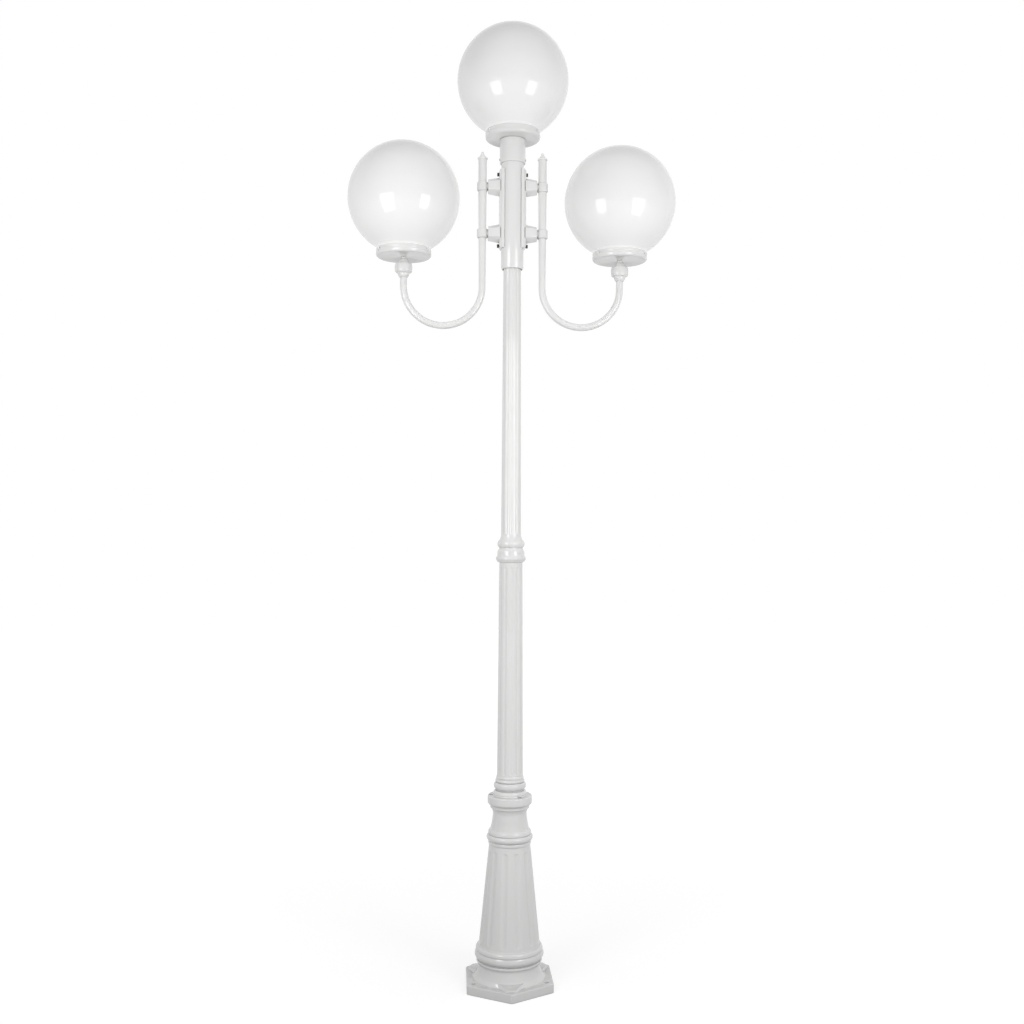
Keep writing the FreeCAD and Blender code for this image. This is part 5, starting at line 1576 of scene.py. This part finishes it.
@dataclass
class LampHead:
    """Fitter, globe, lamp, holder and neck screws of a head."""

    fitter_radius: float = 62.0
    fitter_height: float = 18.0
    fitter_wall: float = 2.5
    fitter_floor: float = 3.0
    fitter_round: float = 7.0
    nipple_radius: float = 5.0
    globe_radius: float = 125.0
    globe_wall: float = 3.0
    globe_centre: float = 132.0
    neck_radius: float = 50.0
    neck_foot: float = 5.5
    screw_height: float = 11.5
    screw_head: float = 4.2
    screw_face: float = 2.9
    screw_head_height: float = 2.6
    screw_shank: float = 2.5
    screw_tip: float = 50.5
    recess_size: float = 2.0
    recess_depth: float = 1.3
    recess_width: float = 0.22
    thread_pitch: float = 3.6
    thread_depth: float = 1.1

    def fitter_outline(self) -> Outline:
        """Half section of the round dish that holds the globe."""
        inner = self.fitter_radius - self.fitter_wall
        inner_round = self.fitter_round - self.fitter_wall
        return Outline([
            (self.nipple_radius, 0.0), (self.fitter_radius - self.fitter_round, 0.0),
            (61.3, 4.4, bead(5.6)), (61.6, 10.6, bead(12.0)), (61.1, 11.2),
            (61.1, self.fitter_height - 0.6, bead(10.0)), (60.6, self.fitter_height),
            (inner, self.fitter_height),
            (inner, self.fitter_floor + inner_round),
            (inner - inner_round, self.fitter_floor, Arc(Swell.RIGHT, inner_round)),
            (self.nipple_radius, self.fitter_floor),
        ], soften=0.8, step=9.0)

    def globe_outline(self) -> Outline:
        """Half section of the globe's thin shell with its neck."""
        outer, wall, neck = self.globe_radius, self.globe_wall, self.neck_radius
        inner, neck_bore = outer - wall, neck - wall
        shoulder = self.globe_centre - math.sqrt(outer ** 2 - neck ** 2)
        inner_shoulder = self.globe_centre - math.sqrt(inner ** 2 - neck_bore ** 2)
        return Outline([
            (neck_bore, self.neck_foot), (neck, self.neck_foot), (neck, shoulder),
            (outer, self.globe_centre, bead(outer)), (0.0, self.globe_centre + outer, bead(outer)),
            (0.0, self.globe_centre + inner), (inner, self.globe_centre, cove(inner)),
            (neck_bore, inner_shoulder, cove(inner)),
        ], soften=1.2, step=3.0)

    def holder_outline(self) -> Outline:
        """Half section of the ceramic lamp holder, with a rib round its waist."""
        return Outline([
            (self.nipple_radius, 8.0), (16.5, 8.0), (20.0, 15.0), (20.0, 27.0), (19.0, 28.0), (19.0, 29.6),
            (20.0, 30.6), (20.0, 50.5), (18.5, 52.0), (14.9, 52.0), (14.3, 49.0), (14.3, 22.0),
            (self.nipple_radius, 22.0),
        ], soften=0.7)

    def screw_cap_outline(self) -> Outline:
        """Half section of the lamp's screw cap, with rounded thread rings."""
        corners: list[Corner] = [(0.0, 25.0), (4.6, 25.0), (7.9, 26.6), (11.6, 28.6), (12.0, 29.6)]
        height = 31.0
        while height + self.thread_pitch < 50.0:
            middle = height + self.thread_pitch / 2.0
            corners.append((12.0, height))
            corners.append((12.0 + self.thread_depth, middle, bead(1.6)))
            corners.append((12.0, height + self.thread_pitch, bead(1.6)))
            height += self.thread_pitch
        corners += [(12.6, height + 0.8), (13.1, 51.0), (13.1, 53.0), (0.0, 53.0)]
        return Outline(corners, closed=False, soften=0.5)

    def bulb_outline(self) -> Outline:
        """Half section of the lamp's bulb and its collar."""
        return Outline([
            (0.0, 53.0), (13.1, 53.0), (15.5, 54.5), (15.5, 60.0), (30.0, 105.0, bead(95.0)),
            (0.0, 135.0, bead(30.0)),
        ], closed=False, soften=0.8, step=5.0)

    def build_screws(self) -> MeshObject:
        """Make three pan-head screws round the top fitter's wall, each with a cross recess."""
        height = Head.TOP.up + self.screw_height
        seat = place(0.0, self.fitter_radius - 0.2, height)
        end = place(0.0, self.fitter_radius + self.screw_head_height, height)
        cap = add_rod("screw_head_part", self.screw_head, seat, end, sides=32, tip=self.screw_face)
        round_edges(cap, 0.8, sharper=25.0)
        sunk = end - place(0.0, self.recess_depth, 0.0)
        past = end + place(0.0, 1.0, 0.0)
        for angle in (45.0, 135.0):
            blade = add_rod("recess_cutter", self.recess_size, sunk, past, sides=4)
            open_piece("recess_cutter")
            bpy.ops.transform.resize(value=(self.recess_width, 1.0, 1.0), center_override=sunk)
            bpy.ops.transform.rotate(value=math.radians(angle), orient_axis="Y", center_override=sunk)
            bpy.ops.object.mode_set(mode="OBJECT")
            carve(cap, blade)
        tip = place(0.0, self.screw_tip, height)
        shank = add_rod("screw_shank_part", self.screw_shank, tip, seat, sides=24)
        gather("dish_screws_top", [cap, shank])
        screws = open_piece("dish_screws_top")
        spin_all(2, 240.0, copies=True)
        bpy.ops.object.mode_set(mode="OBJECT")
        return screws

    def build(self) -> list[HeadPiece]:
        """Model the pieces of the top head."""
        top = Head.TOP
        plan = (
            ("globe_dish", "fitter", self.fitter_outline(), 96, HEAD_COAT, "root"),
            ("opal_shell", "globe", self.globe_outline(), 128, OPAL, "globe"),
            ("ceramic_holder", "lamp_holder", self.holder_outline(), 64, CERAMIC, "root"),
            ("screw_cap", "lamp_cap", self.screw_cap_outline(), 64, CAP_METAL, "lamp"),
            ("lamp_envelope", "lamp_bulb", self.bulb_outline(), 72, LAMP_ENVELOPE, "lamp"),
        )
        made = []
        for name, node, outline, steps, finish, body in plan:
            piece = turn(f"{name}_top", outline, top.across, top.up, steps)
            made.append(HeadPiece(piece, top, node, finish, body))
        made.append(HeadPiece(self.build_screws(), top, "neck_screws", SCREW_COAT))
        return made

    def dress(self, made: list[HeadPiece]) -> None:
        """Put every piece in all three heads, finish them and hand them over."""
        for part in made:
            for head in Head:
                part.install_at(head)


@dataclass
class HeadJoint:
    """Knuckle and domed washer between an arm and its head; the right ones are modelled."""

    nipple_radius: float = 5.0

    def knuckle_outline(self) -> Outline:
        """Half section of the cone and barrel at the end of an arm."""
        return Outline([
            (7.7, -45.2), (9.0, -45.2), (9.6, -44.4), (11.7, -40.6, bead(8.0)), (12.3, -40.0),
            (12.9, -35.8, bead(9.0)), (17.2, -34.2), (19.0, -31.6), (19.1, -15.4, bead(50.0)),
            (16.6, -12.6), (self.nipple_radius, -12.4), (self.nipple_radius, -24.0), (7.7, -25.0),
        ], soften=0.3)

    def dome_outline(self) -> Outline:
        """Half section of the domed washer under the fitter."""
        return Outline([
            (self.nipple_radius, -12.4), (13.2, -12.4), (13.4, -11.6), (7.0, -3.6, bead(26.0)),
            (6.4, -3.1), (6.4, 0.0), (self.nipple_radius, 0.0),
        ], soften=0.4)

    def build(self) -> list[HeadPiece]:
        """Turn the right-hand knuckle and washer."""
        home = Head.RIGHT
        knuckle = turn("head_socket_right", self.knuckle_outline(), home.across, home.up)
        dome = turn("dome_washer_right", self.dome_outline(), home.across, home.up, 48)
        return [
            HeadPiece(knuckle, home, "knuckle", HEAD_COAT),
            HeadPiece(dome, home, "dome_spacer", HEAD_COAT),
        ]

    def dress(self, made: list[HeadPiece]) -> None:
        """Put both pieces under both side heads, finish them and hand them over."""
        for part in made:
            for head in (Head.LEFT, Head.RIGHT):
                part.install_at(head)


# ---------------------------------------------------------------- inner parts

@dataclass
class InnerParts:
    """The CAD nodes that keep their shape, and the finish that each kind takes."""

    plain: tuple[tuple[str, Finish], ...] = (
        ("base_coupling", PLATED_STEEL), ("base_lock_nut", PLATED_STEEL), ("mid_coupling", PLATED_STEEL),
        ("terminal_block", TERMINAL_PLASTIC), ("terminal_block_screws", PLATED_STEEL),
        ("earth_screw", BRASS),
    )
    in_each_head: tuple[tuple[str, Finish], ...] = (
        ("nipple", PLATED_STEEL), ("lock_nut", PLATED_STEEL), ("gasket", RUBBER), ("contact_shell", BRASS),
    )

    def dress(self) -> None:
        """Give every kept CAD node its finish."""
        wanted = dict(self.plain)
        for kind, finish in self.in_each_head:
            for head in Head:
                wanted[f"{kind}_{head.label}"] = finish
        for node, finish in wanted.items():
            finish.dress(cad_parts[node])
            LOG.info("%s keeps its CAD shape, in %s", node, finish.name)


# ---------------------------------------------------------------- studio

@dataclass(frozen=True)
class Softbox:
    """An upright soft light that faces the post.

    Attributes:
        name: Name of the lamp.
        spot: Its middle, in metres.
        wide: Its width in metres.
        tall: Its height in metres.
        power: Its power in watts.
        gleam: Whether it only shows in reflections.
    """

    name: str
    spot: Triple
    wide: float
    tall: float
    power: float
    gleam: bool = False

    def hang(self) -> None:
        """Put the lamp in the scene."""
        data = bpy.data.lights.new(self.name, "AREA")
        data.shape = "RECTANGLE"
        data.size = self.wide
        data.size_y = self.tall
        data.energy = self.power
        lamp = bpy.data.objects.new(self.name, data)
        bpy.context.scene.collection.objects.link(lamp)
        spot = Vector(self.spot)
        inward = Vector((-spot.x, -spot.y, 0.0))
        lamp.matrix_world = Matrix.Translation(spot) @ inward.to_track_quat("-Z", "Y").to_matrix().to_4x4()
        lamp.visible_camera = False
        lamp.visible_diffuse = not self.gleam


@dataclass
class Studio:
    """Pale floor, soft lights, white surroundings and the photograph's camera.

    Attributes:
        softboxes: The lamps.
        around: Strength of the soft light from all round.
        lean: Direction from which that light is stronger, and by how much.
        room: Direction in which reflections see a darker room.
        room_reach: How far along that direction the room starts to darken and is darkest.
        room_dark: How much darker that room is.
        floor_half: Half the floor's width in metres.
        floor_glow: The seen floor's own light near the post and far from it.
        floor_glow_reach: Distances between which that light changes, in metres.
        floor_paint: Darkest and palest grey of the seen floor.
        floor_shade: Grey of the floor that lights the post, near it and far from it.
        floor_shade_reach: Distances between which that grey changes, in metres.
        focal: The lens in millimetres.
        spot: Where the camera stands, in metres.
        aim: What it looks at.
        roll: How far it is tilted sideways, in degrees.
        lift: How far its frame is shifted up, as a share of the frame.
    """

    softboxes: tuple[Softbox, ...] = (
        Softbox("softbox_left", (-0.800, -0.932, 1.308), 0.52, 0.72, 4.4),
        Softbox("softbox_right", (0.809, -1.018, 1.306), 0.52, 0.72, 4.4),
        Softbox("gleam_left", (-0.800, -0.932, 1.308), 0.50, 0.70, 11.0, gleam=True),
        Softbox("gleam_right", (0.809, -1.018, 1.306), 0.50, 0.70, 11.0, gleam=True),
    )
    around: float = 0.60
    lean: Triple = (0.16, -0.58, -0.10)
    room: Triple = (0.0, -0.8, 0.6)
    room_reach: tuple[float, float] = (-0.2, 0.3)
    room_dark: float = 0.65
    floor_half: float = 9.0
    floor_glow: tuple[float, float] = (0.68, 0.80)
    floor_glow_reach: tuple[float, float] = (0.2, 2.6)
    floor_paint: tuple[float, float] = (0.42, 0.46)
    floor_shade: tuple[float, float] = (0.22, 0.78)
    floor_shade_reach: tuple[float, float] = (0.15, 1.1)
    focal: float = 39.73
    spot: Triple = (-0.1535, -2.5354, 1.02)
    aim: Triple = (0.0022, 0.0, 1.02)
    roll: float = 0.26
    lift: float = 18.0 / 1024.0

    def seen_by_eye(self, sheet: NodeSheet) -> Socket:
        """An output that is 1 for a ray from the camera, a reflection or a refraction."""
        path = sheet.add("ShaderNodeLightPath").outputs
        either = sheet.maths("MAXIMUM", path["Is Camera Ray"], path["Is Glossy Ray"])
        return sheet.maths("MAXIMUM", either, path["Is Transmission Ray"])

    def along(self, sheet: NodeSheet, way: Triple) -> Socket:
        """How far a ray's direction runs along a given way."""
        node = sheet.add("ShaderNodeVectorMath", operation="DOT_PRODUCT")
        node.inputs[1].default_value = way
        sheet.join(sheet.add("ShaderNodeTexCoord").outputs["Generated"], node.inputs[0])
        return node.outputs["Value"]

    def soft_light(self, sheet: NodeSheet) -> Socket:
        """Light on the object: a little more from the front right than from behind."""
        lean = tuple(self.around * part for part in self.lean)
        return sheet.maths("ADD", self.along(sheet, lean), self.around)

    def seen_light(self, sheet: NodeSheet) -> Socket:
        """White for the eye; reflections show a darker room above and behind the camera."""
        dark = sheet.remap(self.along(sheet, self.room), *self.room_reach, 0.0, self.room_dark)
        glossy = sheet.add("ShaderNodeLightPath").outputs["Is Glossy Ray"]
        return sheet.maths("SUBTRACT", 1.0, sheet.maths("MULTIPLY", dark, glossy))

    def build_world(self) -> None:
        """White surroundings for the eye, and an even soft light for the object."""
        world = bpy.data.worlds.new("white_studio")
        bpy.context.scene.world = world
        sheet = NodeSheet(world)
        chosen = sheet.add("ShaderNodeMixShader")
        sheet.join(self.seen_by_eye(sheet), chosen.inputs["Fac"])
        for slot, strength in ((1, self.soft_light(sheet)), (2, self.seen_light(sheet))):
            glow = sheet.add("ShaderNodeBackground")
            glow.inputs["Color"].default_value = (*WHITE, 1.0)
            sheet.join(strength, glow.inputs["Strength"])
            sheet.join(glow.outputs["Background"], chosen.inputs[slot])
        sheet.finish_with(chosen.outputs["Shader"], "ShaderNodeOutputWorld")

    def build_floor(self) -> None:
        """A pale floor that looks white and keeps the object's shadow."""
        floor = start_piece("studio_floor", bpy.ops.mesh.primitive_plane_add,
                            size=2.0 * self.floor_half, location=ORIGIN)
        bpy.ops.mesh.subdivide(number_cuts=7)
        close_piece()
        sheet = NodeSheet(bpy.data.materials.new("pale_studio_floor"))
        coords = sheet.add("ShaderNodeTexCoord").outputs["Object"]
        distance = sheet.add("ShaderNodeVectorMath", operation="LENGTH")
        sheet.join(coords, distance.inputs[0])
        away = distance.outputs["Value"]
        grain = sheet.remap(sheet.noise(coords, 60.0, 4.0), 0.3, 0.7, 0.97, 1.0)
        shade = sheet.remap(away, *self.floor_shade_reach, 0.0, 1.0)
        glow = sheet.add("ShaderNodeEmission")
        strength = sheet.remap(away, *self.floor_glow_reach, *self.floor_glow)
        sheet.join(strength, glow.inputs["Strength"])
        lit = sheet.add("ShaderNodeBsdfDiffuse")
        sheet.join(sheet.mix(grain, *map(grey, self.floor_paint)), lit.inputs["Color"])
        plain = sheet.add("ShaderNodeBsdfDiffuse")
        sheet.join(sheet.mix(shade, *map(grey, self.floor_shade)), plain.inputs["Color"])
        white = sheet.add("ShaderNodeAddShader")
        sheet.join(glow.outputs["Emission"], white.inputs[0])
        sheet.join(lit.outputs["BSDF"], white.inputs[1])
        chosen = sheet.add("ShaderNodeMixShader")
        sheet.join(self.seen_by_eye(sheet), chosen.inputs["Fac"])
        sheet.join(plain.outputs["BSDF"], chosen.inputs[1])
        sheet.join(white.outputs["Shader"], chosen.inputs[2])
        sheet.finish_with(chosen.outputs["Shader"])
        floor.data.materials.append(sheet.owner)

    def build_camera(self) -> None:
        """The photograph's camera: level, a little rolled, its frame shifted up."""
        data = bpy.data.cameras.new("photo_camera")
        data.lens = self.focal
        data.sensor_width = 36.0
        data.shift_y = self.lift
        camera = bpy.data.objects.new("photo_camera", data)
        bpy.context.scene.collection.objects.link(camera)
        forward = (Vector(self.aim) - Vector(self.spot)).normalized()
        right = forward.cross(Vector(UPRIGHT)).normalized()
        upward = right.cross(forward)
        basis = Matrix((right, upward, -forward)).transposed().to_4x4()
        rolled = Matrix.Rotation(math.radians(self.roll), 4, "Z")
        camera.matrix_world = Matrix.Translation(Vector(self.spot)) @ basis @ rolled
        bpy.context.scene.camera = camera

    def build(self) -> None:
        """Set up the whole studio."""
        self.build_camera()
        self.build_world()
        self.build_floor()
        for softbox in self.softboxes:
            softbox.hang()
        bpy.context.scene.view_settings.view_transform = "Standard"


# ---------------------------------------------------------------- the whole post


def main() -> None:
    """Build every sub-assembly in order, then the studio."""
    logging.basicConfig(level=logging.INFO, format="%(message)s")
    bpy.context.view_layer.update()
    assemblies = (
        ColumnBase(), LowerPole(), UpperPole(), PostTop(), SideArm(), LampHead(), HeadJoint(),
    )
    for assembly in assemblies:
        LOG.info("building %s", type(assembly).__name__)
        assembly.dress(assembly.build())
    InnerParts().dress()
    Studio().build()


if __name__ == "__main__":
    main()
